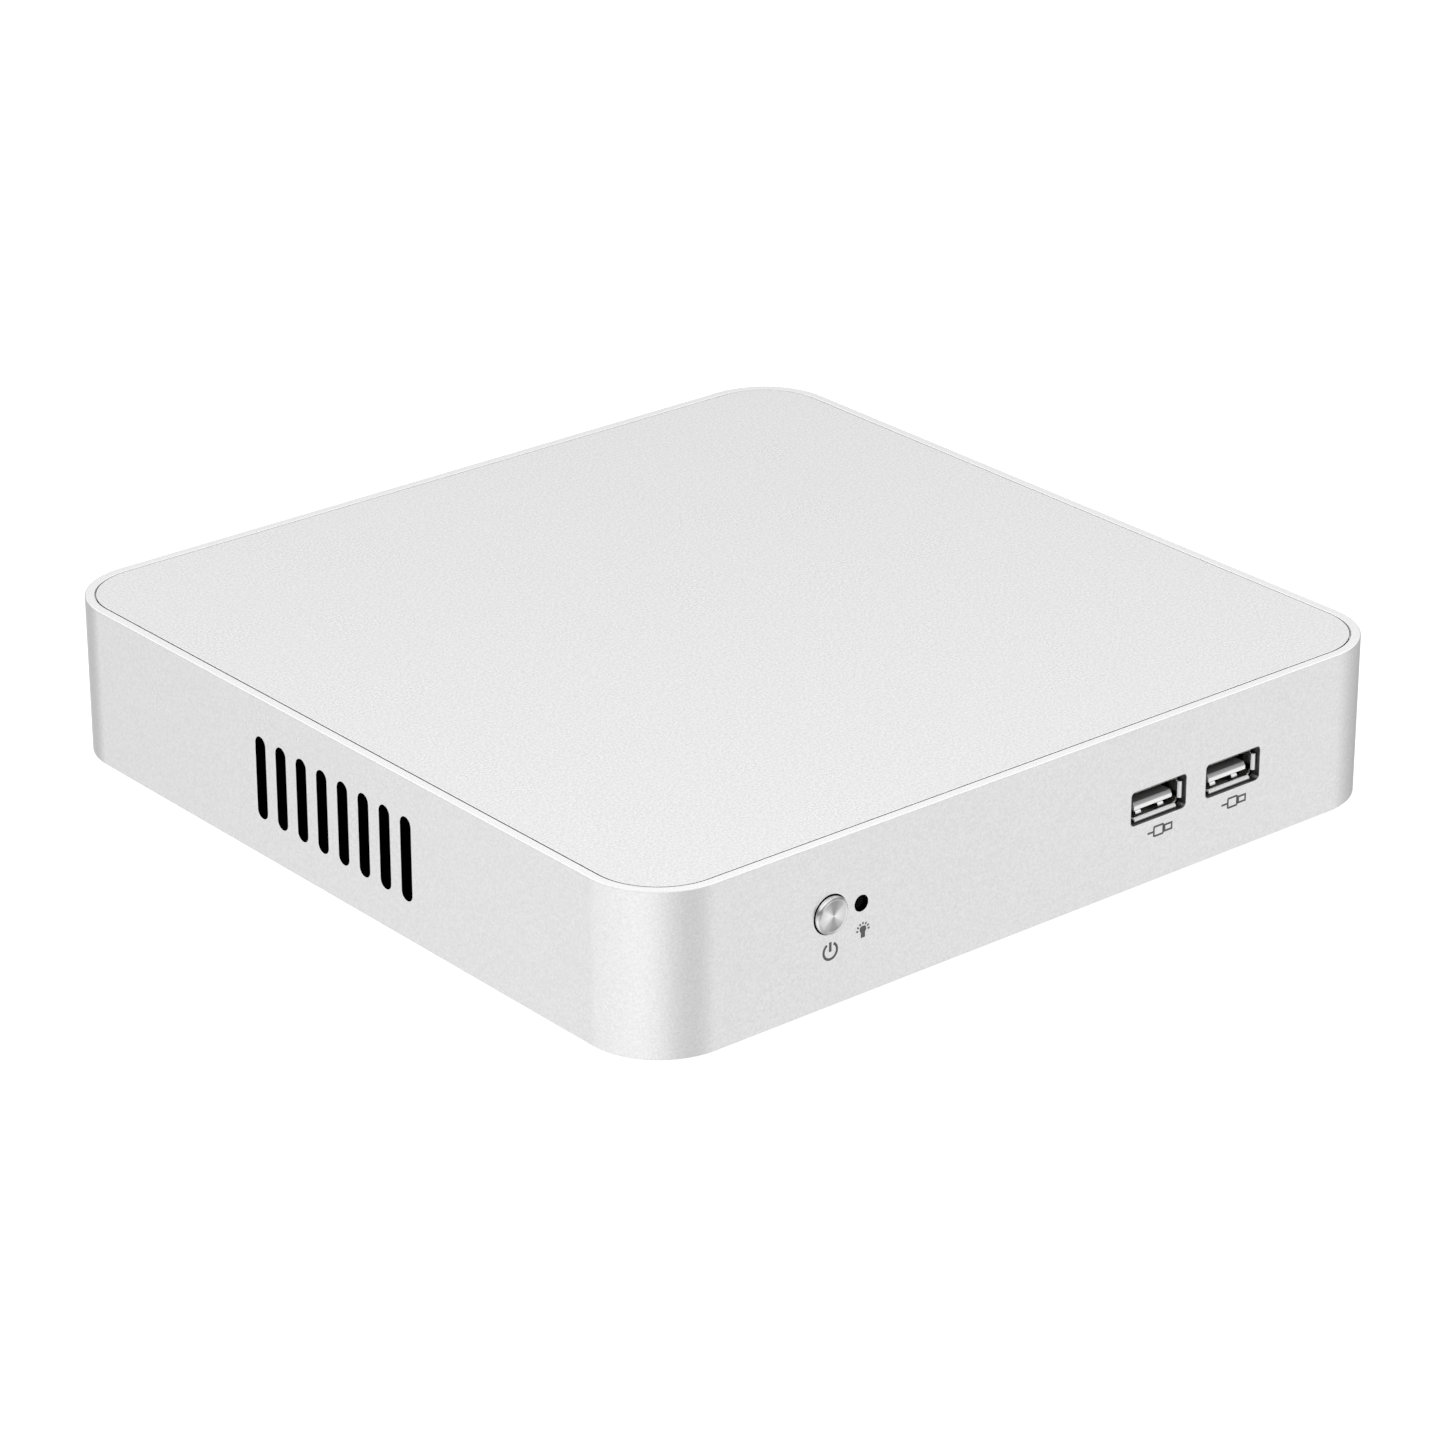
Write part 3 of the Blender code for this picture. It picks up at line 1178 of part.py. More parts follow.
def make_lan_socket(finish, parent):
    """The network socket: a block with a deep opening and the notch for the plug's catch."""
    x, level = LAN_PLACE
    face = REAR + 0.5
    low = (x - LAN_BLOCK_HALF_WIDTH, face - LAN_BLOCK_DEPTH, ON_BOARD)
    high = (x + LAN_BLOCK_HALF_WIDTH, face, level + LAN_BLOCK_RISE)
    socket = box("lan_socket", low, high)
    jobs = [
        (LAN_MOUTH_HALF_WIDTH, LAN_MOUTH_LEVELS),
        (LAN_NOTCH_HALF_WIDTH, LAN_NOTCH_LEVELS),
    ]
    hollows = []
    for half_width, (under, over) in jobs:
        hollow_low = (x - half_width, face - LAN_MOUTH_DEPTH, level + under)
        hollow_high = (x + half_width, face + 1, level + over)
        hollows.append(box("hollow", hollow_low, hollow_high))
    opening, notch = hollows
    cut(socket, fuse(opening, notch))
    settle(socket, finish, (x, face, level), parent)


def make_rear_usb(shell_finish, plastic_finish, parent):
    """Two USB sockets, one above the other, in one shell."""
    x, level = REAR_USB_PLACE
    face = REAR + 0.5
    back = face - REAR_USB_DEPTH
    half_u, half_v = REAR_USB_HALF_WIDTH, level - ON_BOARD
    inner_u, inner_v = half_u - REAR_USB_SHEET, half_v - REAR_USB_SHEET
    outer = rounded_rectangle(half_u, half_v, 0.6, REAR_USB_PLACE, SOCKET_CORNER_STEPS)
    inner = rounded_rectangle(inner_u, inner_v, 0.3, REAR_USB_PLACE, SOCKET_CORNER_STEPS)
    sections = [(outer, back), (outer, face), (inner, face), (inner, back)]
    shell = loft("rear_usb_shell", sections, "Y", ring=True)
    settle(shell, shell_finish, (x, face, level), parent)

    reach_u, reach_v = inner_u - GAP, inner_v - GAP
    core_low = (x - reach_u, back, level - reach_v)
    core_high = (x + reach_u, back + 4.0, level + reach_v)
    core = box("rear_usb_core", core_low, core_high)
    rib_low = (x - reach_u, back + 3.5, level - REAR_USB_DIVIDER_HALF)
    rib_high = (x + reach_u, face - 0.4, level + REAR_USB_DIVIDER_HALF)
    ribs = [box("rib", rib_low, rib_high)]
    under, over = REAR_USB_TONGUE_LEVELS
    for side in (-1, 1):
        middle = level + side * REAR_USB_REACH
        low = (x - REAR_USB_TONGUE_HALF_WIDTH, back + 3.5, middle + under)
        high = (x + REAR_USB_TONGUE_HALF_WIDTH, face - 1.0, middle + over)
        ribs.append(box("tongue", low, high))
    fuse(core, *ribs)
    settle(core, plastic_finish, (x, face, level), parent)


def make_audio_jack(finish, parent):
    """The headphone socket: a block with a round nose and a deep bore."""
    x, level = AUDIO_PLACE
    face = REAR + 0.2
    nose_back = INNER - GAP
    body_low = (x - AUDIO_BODY_HALF_WIDTH, nose_back - JACK_BODY_DEPTH, ON_BOARD)
    body_high = (x + AUDIO_BODY_HALF_WIDTH, nose_back, level + AUDIO_BODY_RISE)
    jack = box("audio_socket", body_low, body_high)
    nose = circle(AUDIO_NOSE_RADIUS, AUDIO_PLACE, SOCKET_STEPS)
    fuse(jack, prism("nose", nose, nose_back - 1.0, face, "Y"))
    cut(jack, hole(AUDIO_PLACE, AUDIO_BORE_RADIUS, face - AUDIO_BORE_DEPTH, face + 1.0, "Y", PIN_STEPS))
    settle(jack, finish, (x, face, level), parent)


def clear_scene():
    """Remove every object that is already in the scene."""
    for thing in list(bpy.data.objects):
        bpy.data.objects.remove(thing)


def build():
    """Make every piece."""
    clear_scene()
    anodised = material("anodised_silver", (0.80, 0.80, 0.80), 0.45, 1.0)
    panel = material("panel_silver", (0.82, 0.82, 0.82), 0.45, 1.0)
    sheet_steel = material("black_sheet_steel", (0.03, 0.03, 0.03), 0.55, 0.3)
    polished = material("turned_steel", (0.75, 0.75, 0.75), 0.22, 1.0)
    plated = material("plated_steel", (0.72, 0.72, 0.70), 0.25, 1.0)
    zinc = material("zinc_screw", (0.60, 0.60, 0.58), 0.35, 1.0)
    spring_steel = material("spring_steel", (0.55, 0.55, 0.55), 0.3, 1.0)
    rubber = material("black_rubber", (0.02, 0.02, 0.02), 0.85)
    mesh_black = material("black_mesh", (0.01, 0.01, 0.01), 0.9)
    white_plastic = material("white_plastic", (0.85, 0.85, 0.84), 0.4)
    black_plastic = material("black_plastic", (0.02, 0.02, 0.02), 0.5)
    smoked = material("smoked_plastic", (0.01, 0.01, 0.01), 0.15)
    green_board = material("board_green", (0.02, 0.13, 0.06), 0.45)
    chip = material("chip_black", (0.03, 0.03, 0.035), 0.5)
    grey_pad = material("thermal_grey", (0.35, 0.36, 0.38), 0.8)
    fin_metal = material("fin_aluminium", (0.70, 0.71, 0.72), 0.35, 1.0)
    audio_green = material("audio_plastic", (0.10, 0.45, 0.15), 0.45)
    vga_blue = material("display_plastic", (0.03, 0.10, 0.45), 0.45)
    ivory = material("ivory_plastic", (0.70, 0.66, 0.55), 0.5)

    chassis = empty("chassis", (0, 0, 0))
    button_axis = empty("power_button_axis", (BUTTON_X, FRONT, BUTTON_LEVEL), chassis)
    fan_axis = empty("fan_axis", (*FAN_CENTRE, ROTOR_BOTTOM), chassis)

    make_body_frame(anodised, chassis)
    make_top_panel(panel, chassis)
    make_bottom_cover(sheet_steel, chassis)
    make_cover_screws(zinc, chassis)
    make_feet(rubber, chassis)
    make_dust_filters(mesh_black, chassis)
    make_power_button(polished, spring_steel, black_plastic, black_plastic, chassis, button_axis)
    make_lamp(smoked, black_plastic, chassis)
    make_front_usb(plated, white_plastic, chassis)
    make_mainboard(green_board, chassis)
    make_board_screws(zinc, chassis)
    make_processor(chip, grey_pad, chassis)
    make_heatsink(fin_metal, chassis)
    make_fan(black_plastic, black_plastic, chassis, fan_axis)
    make_cooler_screws(zinc, chassis)
    make_fan_lead(black_plastic, ivory, chassis)
    make_memory(black_plastic, green_board, spring_steel, chassis)
    make_clock_battery(black_plastic, plated, chassis)
    make_drive(fin_metal, plated, black_plastic, zinc, chassis)
    make_dc_jack(black_plastic, chassis)
    make_vga_socket(plated, vga_blue, chassis)
    make_hdmi_socket(plated, black_plastic, chassis)
    make_lan_socket(plated, chassis)
    make_rear_usb(plated, white_plastic, chassis)
    make_audio_jack(audio_green, chassis)


build()
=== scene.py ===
"""Looks of the mini pc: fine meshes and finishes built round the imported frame, in metres."""

import math
from functools import partial

import bmesh
import bpy
from mathutils import Matrix, Vector


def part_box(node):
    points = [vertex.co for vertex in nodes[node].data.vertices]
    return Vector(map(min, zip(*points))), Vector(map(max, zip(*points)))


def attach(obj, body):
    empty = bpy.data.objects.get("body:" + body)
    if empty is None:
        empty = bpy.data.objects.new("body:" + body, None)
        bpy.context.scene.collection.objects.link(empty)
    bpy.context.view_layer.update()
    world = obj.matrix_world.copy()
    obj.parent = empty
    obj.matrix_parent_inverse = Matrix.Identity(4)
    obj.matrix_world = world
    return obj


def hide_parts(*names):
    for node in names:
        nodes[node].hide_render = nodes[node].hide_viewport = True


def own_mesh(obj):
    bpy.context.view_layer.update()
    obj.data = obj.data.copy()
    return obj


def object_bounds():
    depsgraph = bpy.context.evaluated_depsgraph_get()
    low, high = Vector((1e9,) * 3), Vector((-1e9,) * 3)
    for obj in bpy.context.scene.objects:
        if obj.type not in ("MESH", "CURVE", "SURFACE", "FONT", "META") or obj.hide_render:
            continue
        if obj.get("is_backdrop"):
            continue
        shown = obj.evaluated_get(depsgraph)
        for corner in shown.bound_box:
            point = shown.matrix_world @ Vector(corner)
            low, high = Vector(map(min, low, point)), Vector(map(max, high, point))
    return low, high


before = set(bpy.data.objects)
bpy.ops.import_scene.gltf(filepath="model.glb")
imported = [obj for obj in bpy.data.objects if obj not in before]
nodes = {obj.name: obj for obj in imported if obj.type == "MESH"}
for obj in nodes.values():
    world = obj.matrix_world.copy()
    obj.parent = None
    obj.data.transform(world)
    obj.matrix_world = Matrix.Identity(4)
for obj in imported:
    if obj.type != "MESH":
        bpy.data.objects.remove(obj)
cad_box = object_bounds()
MM = 0.001


# Frame sizes, in millimetres


def box_mm(node):
    """Lowest and highest corner of a CAD node, in millimetres."""
    low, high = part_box(node)
    return low / MM, high / MM


def middle_mm(node):
    """Centre of a CAD node's box, in millimetres."""
    low, high = box_mm(node)
    return (low + high) / 2


def row(middle, count, pitch):
    """Places in a row, evenly spaced about its middle."""
    return [middle + (index - (count - 1) / 2) * pitch for index in range(count)]


FRAME_LOW, FRAME_HIGH = box_mm("body_frame")
PANEL_LOW, PANEL_HIGH = box_mm("top_panel")
COVER_LOW, COVER_HIGH = box_mm("bottom_cover")
HALF = FRAME_HIGH.x
FRONT = -HALF
REAR = HALF
CASE_TOP = FRAME_HIGH.z
CASE_BOTTOM = FRAME_LOW.z
WALL = 2.0
INNER = HALF - WALL
CORNER = 16.0
GAP = 0.3
LEDGE_REACH = 5.0
LEDGE_TOP = PANEL_LOW.z - GAP
LEDGE_UNDERSIDE = LEDGE_TOP - 1.0
COVER_TOP = COVER_LOW.z + 1.2
POST_REACH = 85.4
CORNER_SPOTS = [(x * POST_REACH, y * POST_REACH) for y in (-1, 1) for x in (-1, 1)]
# How far a cutter goes past the inner side of a wall
PAST_WALL = 1.0

BUTTON = middle_mm("power_button_cap")
BUTTON_CENTRE = (BUTTON.x, BUTTON.z)
BUTTON_FRONT, BUTTON_BACK = [corner.y for corner in box_mm("power_button_cap")]
FACE_RADIUS = 3.0
CAP_RADIUS = 3.8
BUTTON_HOLE = 4.02
LAMP = middle_mm("light_pipe")
LAMP_HOLE = 1.66
SLOT_LEVEL = middle_mm("dust_filter_left").z
SLOT_HALF = (1.70, 8.75)
SLOT_MIDDLES = row(0.0, 8, 6.7)

# Front USB sockets. Outlines are given as half width, half height and corner radius
USB = [middle_mm("front_usb_tongue_1"), middle_mm("front_usb_tongue_2")]
USB_LIP = box_mm("front_usb_shell_1")[0].y
USB_CUTOUT = (7.35, 3.6, 0.9)
USB_INSIDE = (6.2, 2.55, 0.4)
USB_SHEET = 0.3
TUBE_FRONT = USB_LIP + 0.5
FLAP_LIP = USB_LIP - 0.5
FLAP_HALF_WIDTH = 5.45
FLAP_HALF_HEIGHT = 1.7
TONGUE_LENGTH = 11.0
CONTACT_PLACES = (-3.5, -1.0, 1.0, 3.5)

# Middles of the rear sockets, as (x, level)
DC_PLACE = (68.0, 20.6)
VGA_PLACE = (41.0, 21.4)
VGA_NUT_REACH = 12.5
HDMI_PLACE = (13.0, 17.9)
LAN_PLACE = (-9.0, 21.4)
REAR_USB_PLACE = (-31.0, 22.5)
AUDIO_PLACE = (-51.0, 18.6)
# Floors of the two rear USB mouths, below the socket's middle: the lower one and the upper one
REAR_USB_FLOORS = {-1: 7.3, 1: -1.6}

CORNER_STEPS = 28
ROUND_STEPS = 64
SMALL_STEPS = 40


# Outlines: lists of (u, v) points. A grow argument comes last and draws the outline out


def around(centre, radius, angles):
    """Points at a radius from a centre, one for each angle in radians."""
    return [(centre[0] + radius * math.cos(a), centre[1] + radius * math.sin(a)) for a in angles]


def circle(radius, centre=(0.0, 0.0), steps=ROUND_STEPS, grow=0.0):
    """Points round a circle."""
    return around(centre, radius + grow, [2 * math.pi * step / steps for step in range(steps)])


def rectangle(low, high):
    """The four corners of a rectangle."""
    return [(low[0], low[1]), (high[0], low[1]), (high[0], high[1]), (low[0], high[1])]


def rounded_rectangle(half_u, half_v, radius, centre=(0.0, 0.0), steps=6, grow=0.0):
    """A rectangle about a centre, each corner an arc."""
    points = []
    for quarter, (side_u, side_v) in enumerate(((1, 1), (-1, 1), (-1, -1), (1, -1))):
        arc_centre = (centre[0] + side_u * (half_u - radius), centre[1] + side_v * (half_v - radius))
        angles = [(quarter + step / steps) * math.pi / 2 for step in range(steps + 1)]
        points += around(arc_centre, radius + grow, angles)
    return points


def case_outline(inset):
    """The case's square plan with round corners, drawn in by an inset."""
    return rounded_rectangle(HALF, HALF, CORNER, steps=CORNER_STEPS, grow=-inset)


def usb_cutout(middle, grow):
    """The cut-out of one front USB socket."""
    return rounded_rectangle(*USB_CUTOUT, (middle.x, middle.z), 10, grow)


def stadium(half_width, half_length, centre, grow=0.0, steps=16):
    """An upright slot outline with fully round ends."""
    points = []
    for end, first in ((1, 0.0), (-1, math.pi)):
        end_centre = (centre[0], centre[1] + end * (half_length - half_width))
        angles = [first + math.pi * step / steps for step in range(steps + 1)]
        points += around(end_centre, half_width + grow, angles)
    return points


def round_corners(corners, radius, steps=5):
    """A convex outline with each corner replaced by a curve of about the radius given."""
    points = []
    count = len(corners)
    for index, corner in enumerate(corners):
        here = Vector(corner)
        before = (Vector(corners[index - 1]) - here).normalized()
        after = (Vector(corners[(index + 1) % count]) - here).normalized()
        start, end = here + before * radius, here + after * radius
        for step in range(steps + 1):
            t = step / steps
            point = start * (1 - t) ** 2 + here * 2 * t * (1 - t) + end * t ** 2
            points.append(tuple(point))
    return points


def d_outline(half_width, half_height, slant, centre, grow=0.0):
    """A D-shaped outline, wider at the top, with round corners."""
    u, v = centre
    half_u, half_v = half_width + grow, half_height + grow
    corners = [
        (u - half_u + slant, v - half_v),
        (u + half_u - slant, v - half_v),
        (u + half_u, v + half_v),
        (u - half_u, v + half_v),
    ]
    return round_corners(corners, 1.0)


def hdmi_hole(grow):
    """The flat video socket's hole: a rectangle with its two lower corners cut."""
    u, v = HDMI_PLACE
    half_u, half_v, cut_u, cut_v = 8.0 + grow, 3.25 + grow, 2.0, 1.6
    corners = [
        (u - half_u + cut_u, v - half_v),
        (u + half_u - cut_u, v - half_v),
        (u + half_u, v - half_v + cut_v),
        (u + half_u, v + half_v),
        (u - half_u, v + half_v),
        (u - half_u, v - half_v + cut_v),
    ]
    return round_corners(corners, 0.3, 3)


def quarter_round(steps):
    """A rounded edge from its side to its top, as shares of its radius: how far in, and how far down."""
    angles = [math.pi / 2 * step / steps for step in range(steps + 1)]
    return [(1 - math.cos(angle), 1 - math.sin(angle)) for angle in angles]


# Solids


def to_xyz(axis, u, v, w):
    """Place a point of a shape drawn along an axis: u and v lie across it, w lies along it."""
    if axis == "X":
        return (w, u, v)
    if axis == "Y":
        return (u, w, v)
    return (u, v, w)


def link(name, mesh):
    """Put a mesh in the scene as a named object."""
    piece = bpy.data.objects.new(name, mesh)
    bpy.context.scene.collection.objects.link(piece)
    return piece


def to_object(name, shape):
    """Put a bmesh in the scene as a named object."""
    mesh = bpy.data.meshes.new(name)
    shape.to_mesh(mesh)
    shape.free()
    return link(name, mesh)


def skin(name, loops, ring=False):
    """Join loops of points in millimetres into one closed solid, capped or joined in a ring."""
    shape = bmesh.new()
    loops = [[shape.verts.new(Vector(point) * MM) for point in loop] for loop in loops]
    pairs = list(zip(loops, loops[1:]))
    if ring:
        pairs.append((loops[-1], loops[0]))
    else:
        shape.faces.new(loops[0])
        shape.faces.new(loops[-1])
    for lower, upper in pairs:
        for here in range(len(lower)):
            after = (here + 1) % len(lower)
            shape.faces.new((lower[here], lower[after], upper[after], upper[here]))
    bmesh.ops.recalc_face_normals(shape, faces=shape.faces)
    return to_object(name, shape)


def loft(name, sections, axis="Z", ring=False):
    """Join outlines, each given with its level along an axis, into one closed solid."""
    loops = [[to_xyz(axis, u, v, level) for u, v in outline] for outline, level in sections]
    return skin(name, loops, ring)


def merge(name, pieces):
    """Put several separate solids into one object."""
    shape = bmesh.new()
    for piece in pieces:
        shape.from_mesh(piece.data)
        bpy.data.objects.remove(piece)
    return to_object(name, shape)


def prism(name, outline, low, high, axis="Z"):
    """Extrude an outline between two levels."""
    return loft(name, [(outline, low), (outline, high)], axis)


def box(name, low, high):
    """A block between two corners, used as a tool or a core for further work."""
    return prism(name, rectangle(low[:2], high[:2]), low[2], high[2])


def turned(name, profile, centre, axis="Z", steps=ROUND_STEPS, ring=False):
    """Turn a profile of (radius, level) pairs about an axis through a centre."""
    sections = [(circle(radius, centre, steps), level) for radius, level in profile]
    return loft(name, sections, axis, ring)


def sleeve(name, outer, inner, front, back, axis="Y"):
    """A short tube between two outlines with the same number of points."""
    return loft(name, [(outer, back), (outer, front), (inner, front), (inner, back)], axis, ring=True)


def ring_piece(name, inner, outer, front, back, centre, steps=SMALL_STEPS):
    """A plain ring along Y."""
    return sleeve(name, circle(outer, centre, steps), circle(inner, centre, steps), front, back)


def bars(middles, half_width, start, end, bottom, top):
    """Blocks side by side along X, such as a socket's contacts."""
    return [box("bar", (x - half_width, start, bottom), (x + half_width, end, top)) for x in middles]


def hole(spot, radius, low, high):
    """A round upright cutter."""
    return prism("hole", circle(radius, spot, 32), low, high)


def apply_modifiers(piece):
    """Turn a piece's modifiers into mesh."""
    bpy.context.view_layer.update()
    evaluated = piece.evaluated_get(bpy.context.evaluated_depsgraph_get())
    mesh = bpy.data.meshes.new_from_object(evaluated)
    mesh.name = piece.name
    piece.modifiers.clear()
    piece.data = mesh
    return piece


def combine(piece, tools, operation):
    """Apply one Boolean for each tool, then discard the tools."""
    for tool in tools:
        modifier = piece.modifiers.new(tool.name, "BOOLEAN")
        modifier.operation = operation
        modifier.solver = "EXACT"
        modifier.material_mode = "TRANSFER"
        modifier.object = tool
    apply_modifiers(piece)
    for tool in tools:
        bpy.data.objects.remove(tool)
    return piece


def cut(piece, *tools):
    """Take the tools' volumes away from a piece."""
    return combine(piece, tools, "DIFFERENCE")


def fuse(piece, *tools):
    """Join the tools to a piece as one body."""
    return combine(piece, tools, "UNION")


def soft_cutter(outline_at, surface, depth, axis, soften):
    """A cutter through a wall whose mouth flares, so the cut leaves a rounded edge.

    outline_at(grow) gives the outline drawn out by an amount; surface is the wall's face and
    depth the level where the cutter ends.
    """
    inwards = 1 if depth > surface else -1
    sections = [(outline_at(soften), surface - inwards * 1.0)]
    for inset, drop in quarter_round(3):
        sections.append((outline_at(soften * drop), surface + inwards * soften * inset))
    sections.append((outline_at(0.0), depth))
    return loft("cutter", sections, axis)


def weigh_normals(piece):
    """Weighted normals, so that flat faces stay flat beside soft edges."""
    weighted = piece.modifiers.new("weighted_normals", "WEIGHTED_NORMAL")
    weighted.keep_sharp = True


def soften_edges(piece, width, segments=2):
    """Round a piece's hard edges."""
    bevel = piece.modifiers.new("soft_edges", "BEVEL")
    bevel.width = width * MM
    bevel.segments = segments
    bevel.limit_method = "ANGLE"
    bevel.angle_limit = math.radians(40)
    bevel.use_clamp_overlap = True


def place(piece, finish, body="chassis", stands_for=(), angle=35.0):
    """Give a piece its finish and smooth shading with crisp edges, and let it ride on a body."""
    if not any(piece.data.materials):
        piece.data.materials.clear()
        piece.data.materials.append(finish)
    piece.data.shade_smooth()
    piece.data.set_sharp_from_angle(angle=math.radians(angle))
    weigh_normals(piece)
    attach(piece, body)
    if stands_for:
        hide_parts(*stands_for)


# Materials


def new_material(name):
    """A material, its node tree and its Principled shader."""
    finish = bpy.data.materials.new(name)
    finish.use_nodes = True
    tree = finish.node_tree
    return finish, tree, tree.nodes["Principled BSDF"]


def rgba(colour):
    """A colour's four channels, from three channels or from one grey level."""
    return (colour, colour, colour, 1.0) if isinstance(colour, float) else (*colour, 1.0)


def add_node(tree, kind, inputs=None, **settings):
    """Add a shader node with its settings and its inputs, each a socket to link or a constant."""
    node = tree.nodes.new("ShaderNode" + kind)
    for name, value in settings.items():
        setattr(node, name, value)
    feed(tree, node, inputs or {})
    return node


def feed(tree, node, inputs):
    """Link or set a node's inputs."""
    for name, value in inputs.items():
        if isinstance(value, bpy.types.NodeSocket):
            tree.links.new(value, node.inputs[name])
        else:
            node.inputs[name].default_value = value


def math_node(tree, operation, *values):
    """A Math node whose inputs are sockets or numbers."""
    return add_node(tree, "Math", dict(enumerate(values)), operation=operation).outputs["Value"]


def object_point(tree):
    """The place of a point in the object's own space."""
    return add_node(tree, "TexCoord").outputs["Object"]


def split_xyz(tree, vector):
    """The three parts of a vector."""
    return add_node(tree, "SeparateXYZ", {"Vector": vector}).outputs


def object_noise(tree, scale, detail=2.0, roughness=0.5, stretch=(1.0, 1.0, 1.0)):
    """A noise texture in the object's own space; scale is in features per metre."""
    mapping = add_node(tree, "Mapping", {"Vector": object_point(tree), "Scale": stretch})
    inputs = {"Vector": mapping.outputs["Vector"], "Scale": scale, "Detail": detail, "Roughness": roughness}
    return add_node(tree, "TexNoise", inputs).outputs["Fac"]


def map_range(tree, value, before, after, interpolation="LINEAR"):
    """Map a value from one (low, high) range to another."""
    inputs = dict(zip(("Value", "From Min", "From Max", "To Min", "To Max"), (value, *before, *after)))
    return add_node(tree, "MapRange", inputs, interpolation_type=interpolation).outputs["Result"]


def spread(tree, source, low, high):
    """Map a texture's middle range to a range of values."""
    return map_range(tree, source, (0.3, 0.7), (low, high))


def mix_colours(tree, share, first, second, blend="MIX"):
    """Mix two colours, each a socket or a colour, by a share."""
    colours = [rgba(colour) if isinstance(colour, (float, tuple)) else colour for colour in (first, second)]
    inputs = dict(zip("AB", colours), Factor=share)
    return add_node(tree, "Mix", inputs, data_type="RGBA", blend_type=blend).outputs["Result"]


def grey_ramp(tree, value, levels, interpolation="LINEAR"):
    """Grey levels along a value from 0 to 1, given as (value, level) pairs."""
    ramp = add_node(tree, "ValToRGB", {"Fac": value})
    ramp.color_ramp.interpolation = interpolation
    stops = ramp.color_ramp.elements
    stops.remove(stops[-1])
    stops[0].position = levels[0][0]
    for position, _ in levels[1:]:
        stops.new(position)
    for stop, (_, level) in zip(stops, levels):
        stop.color = rgba(level)
    return ramp.outputs["Color"]


def bump(tree, height, strength, distance):
    """A surface raised by a texture; distance is in millimetres."""
    inputs = {"Height": height, "Strength": strength, "Distance": distance * MM}
    return add_node(tree, "Bump", inputs).outputs["Normal"]


def set_surface(tree, shader, colour, roughness, normal, metallic=0.0, specular=0.5):
    """Link or set what a surface needs on its shader."""
    feed(tree, shader, {"Base Color": colour, "Roughness": roughness, "Normal": normal, "Metallic": metallic,
                        "Specular IOR Level": specular})


def textured(name, dark, light, roughness, metallic=0.0, grain=1500.0, depth=0.01, strength=0.3,
             stretch=(1.0, 1.0, 1.0), specular=0.5):
    """A finish with a fine grain in its colour, its roughness and its surface."""
    finish, tree, shader = new_material(name)
    noise = object_noise(tree, grain, stretch=stretch)
    colour = mix_colours(tree, spread(tree, noise, 0.0, 1.0), dark, light)
    normal = bump(tree, noise, strength, depth)
    set_surface(tree, shader, colour, spread(tree, noise, *roughness), normal, metallic, specular)
    return finish


def blasted_aluminium(name, level, contrast=0.085):
    """Bead-blasted and anodised aluminium: a fine even sparkle over a soft metal."""
    finish, tree, shader = new_material(name)
    grain = object_noise(tree, 2100.0, detail=3.0, roughness=0.7)
    cloud = object_noise(tree, 45.0)
    shade = spread(tree, grain, 0.0, 1.0)
    colour = mix_colours(tree, shade, level * (1 - contrast), level * (1 + contrast))
    set_surface(tree, shader, colour, spread(tree, cloud, 0.27, 0.29), bump(tree, grain, 0.10, 0.02), 1.0)
    return finish


def turned_metal(name, painted_highlights, roughness, anisotropy):
    """Turned metal: fine grooves round the button's centre, with painted highlights and painted shade in fans
    round it, set by angle.
    """
    finish, tree, shader = new_material(name)
    ends = {0: object_point(tree), 1: (BUTTON.x * MM, 0.0, BUTTON.z * MM)}
    offset = add_node(tree, "VectorMath", ends, operation="SUBTRACT")
    across, _, up = split_xyz(tree, offset.outputs["Vector"])
    squares = math_node(tree, "MULTIPLY_ADD", across, across, math_node(tree, "MULTIPLY", up, up))
    turn = math_node(tree, "DIVIDE", math_node(tree, "ARCTAN2", up, across), 2 * math.pi)
    inputs = {"W": math_node(tree, "SQRT", squares), "Scale": 7000.0, "Detail": 3.0}
    height = add_node(tree, "TexNoise", inputs, noise_dimensions="1D").outputs["Fac"]
    levels = [(angle / 360, level) for angle, level in painted_highlights] + [(1.0, painted_highlights[0][1])]
    # Painted highlights and painted shade: brightness by angle round the button's centre
    fans = grey_ramp(tree, math_node(tree, "FRACT", turn), levels, "EASE")
    groove = mix_colours(tree, spread(tree, height, 0.0, 1.0), 0.93, 1.0)
    colour = mix_colours(tree, 1.0, fans, groove, "MULTIPLY")
    gloss = spread(tree, height, roughness - 0.03, roughness + 0.03)
    set_surface(tree, shader, colour, gloss, bump(tree, height, 0.15, 0.01), 1.0)
    tangent = add_node(tree, "Tangent", direction_type="RADIAL", axis="Y")
    feed(tree, shader, {"Anisotropic": anisotropy, "Tangent": tangent.outputs["Tangent"]})
    return finish


def woven_mesh(name):
    """A dark woven dust mesh: crossed threads with deep holes between them."""
    finish, tree, shader = new_material(name)
    inputs = {"Vector": object_point(tree), "Scale": 500.0}
    waves = [add_node(tree, "TexWave", inputs, bands_direction=direction) for direction in "YZ"]
    higher = math_node(tree, "MAXIMUM", *[wave.outputs["Fac"] for wave in waves])
    colour = mix_colours(tree, higher, 0.0002, 0.0015)
    set_surface(tree, shader, colour, 0.9, bump(tree, higher, 0.8, 0.3), specular=0.0)
    return finish


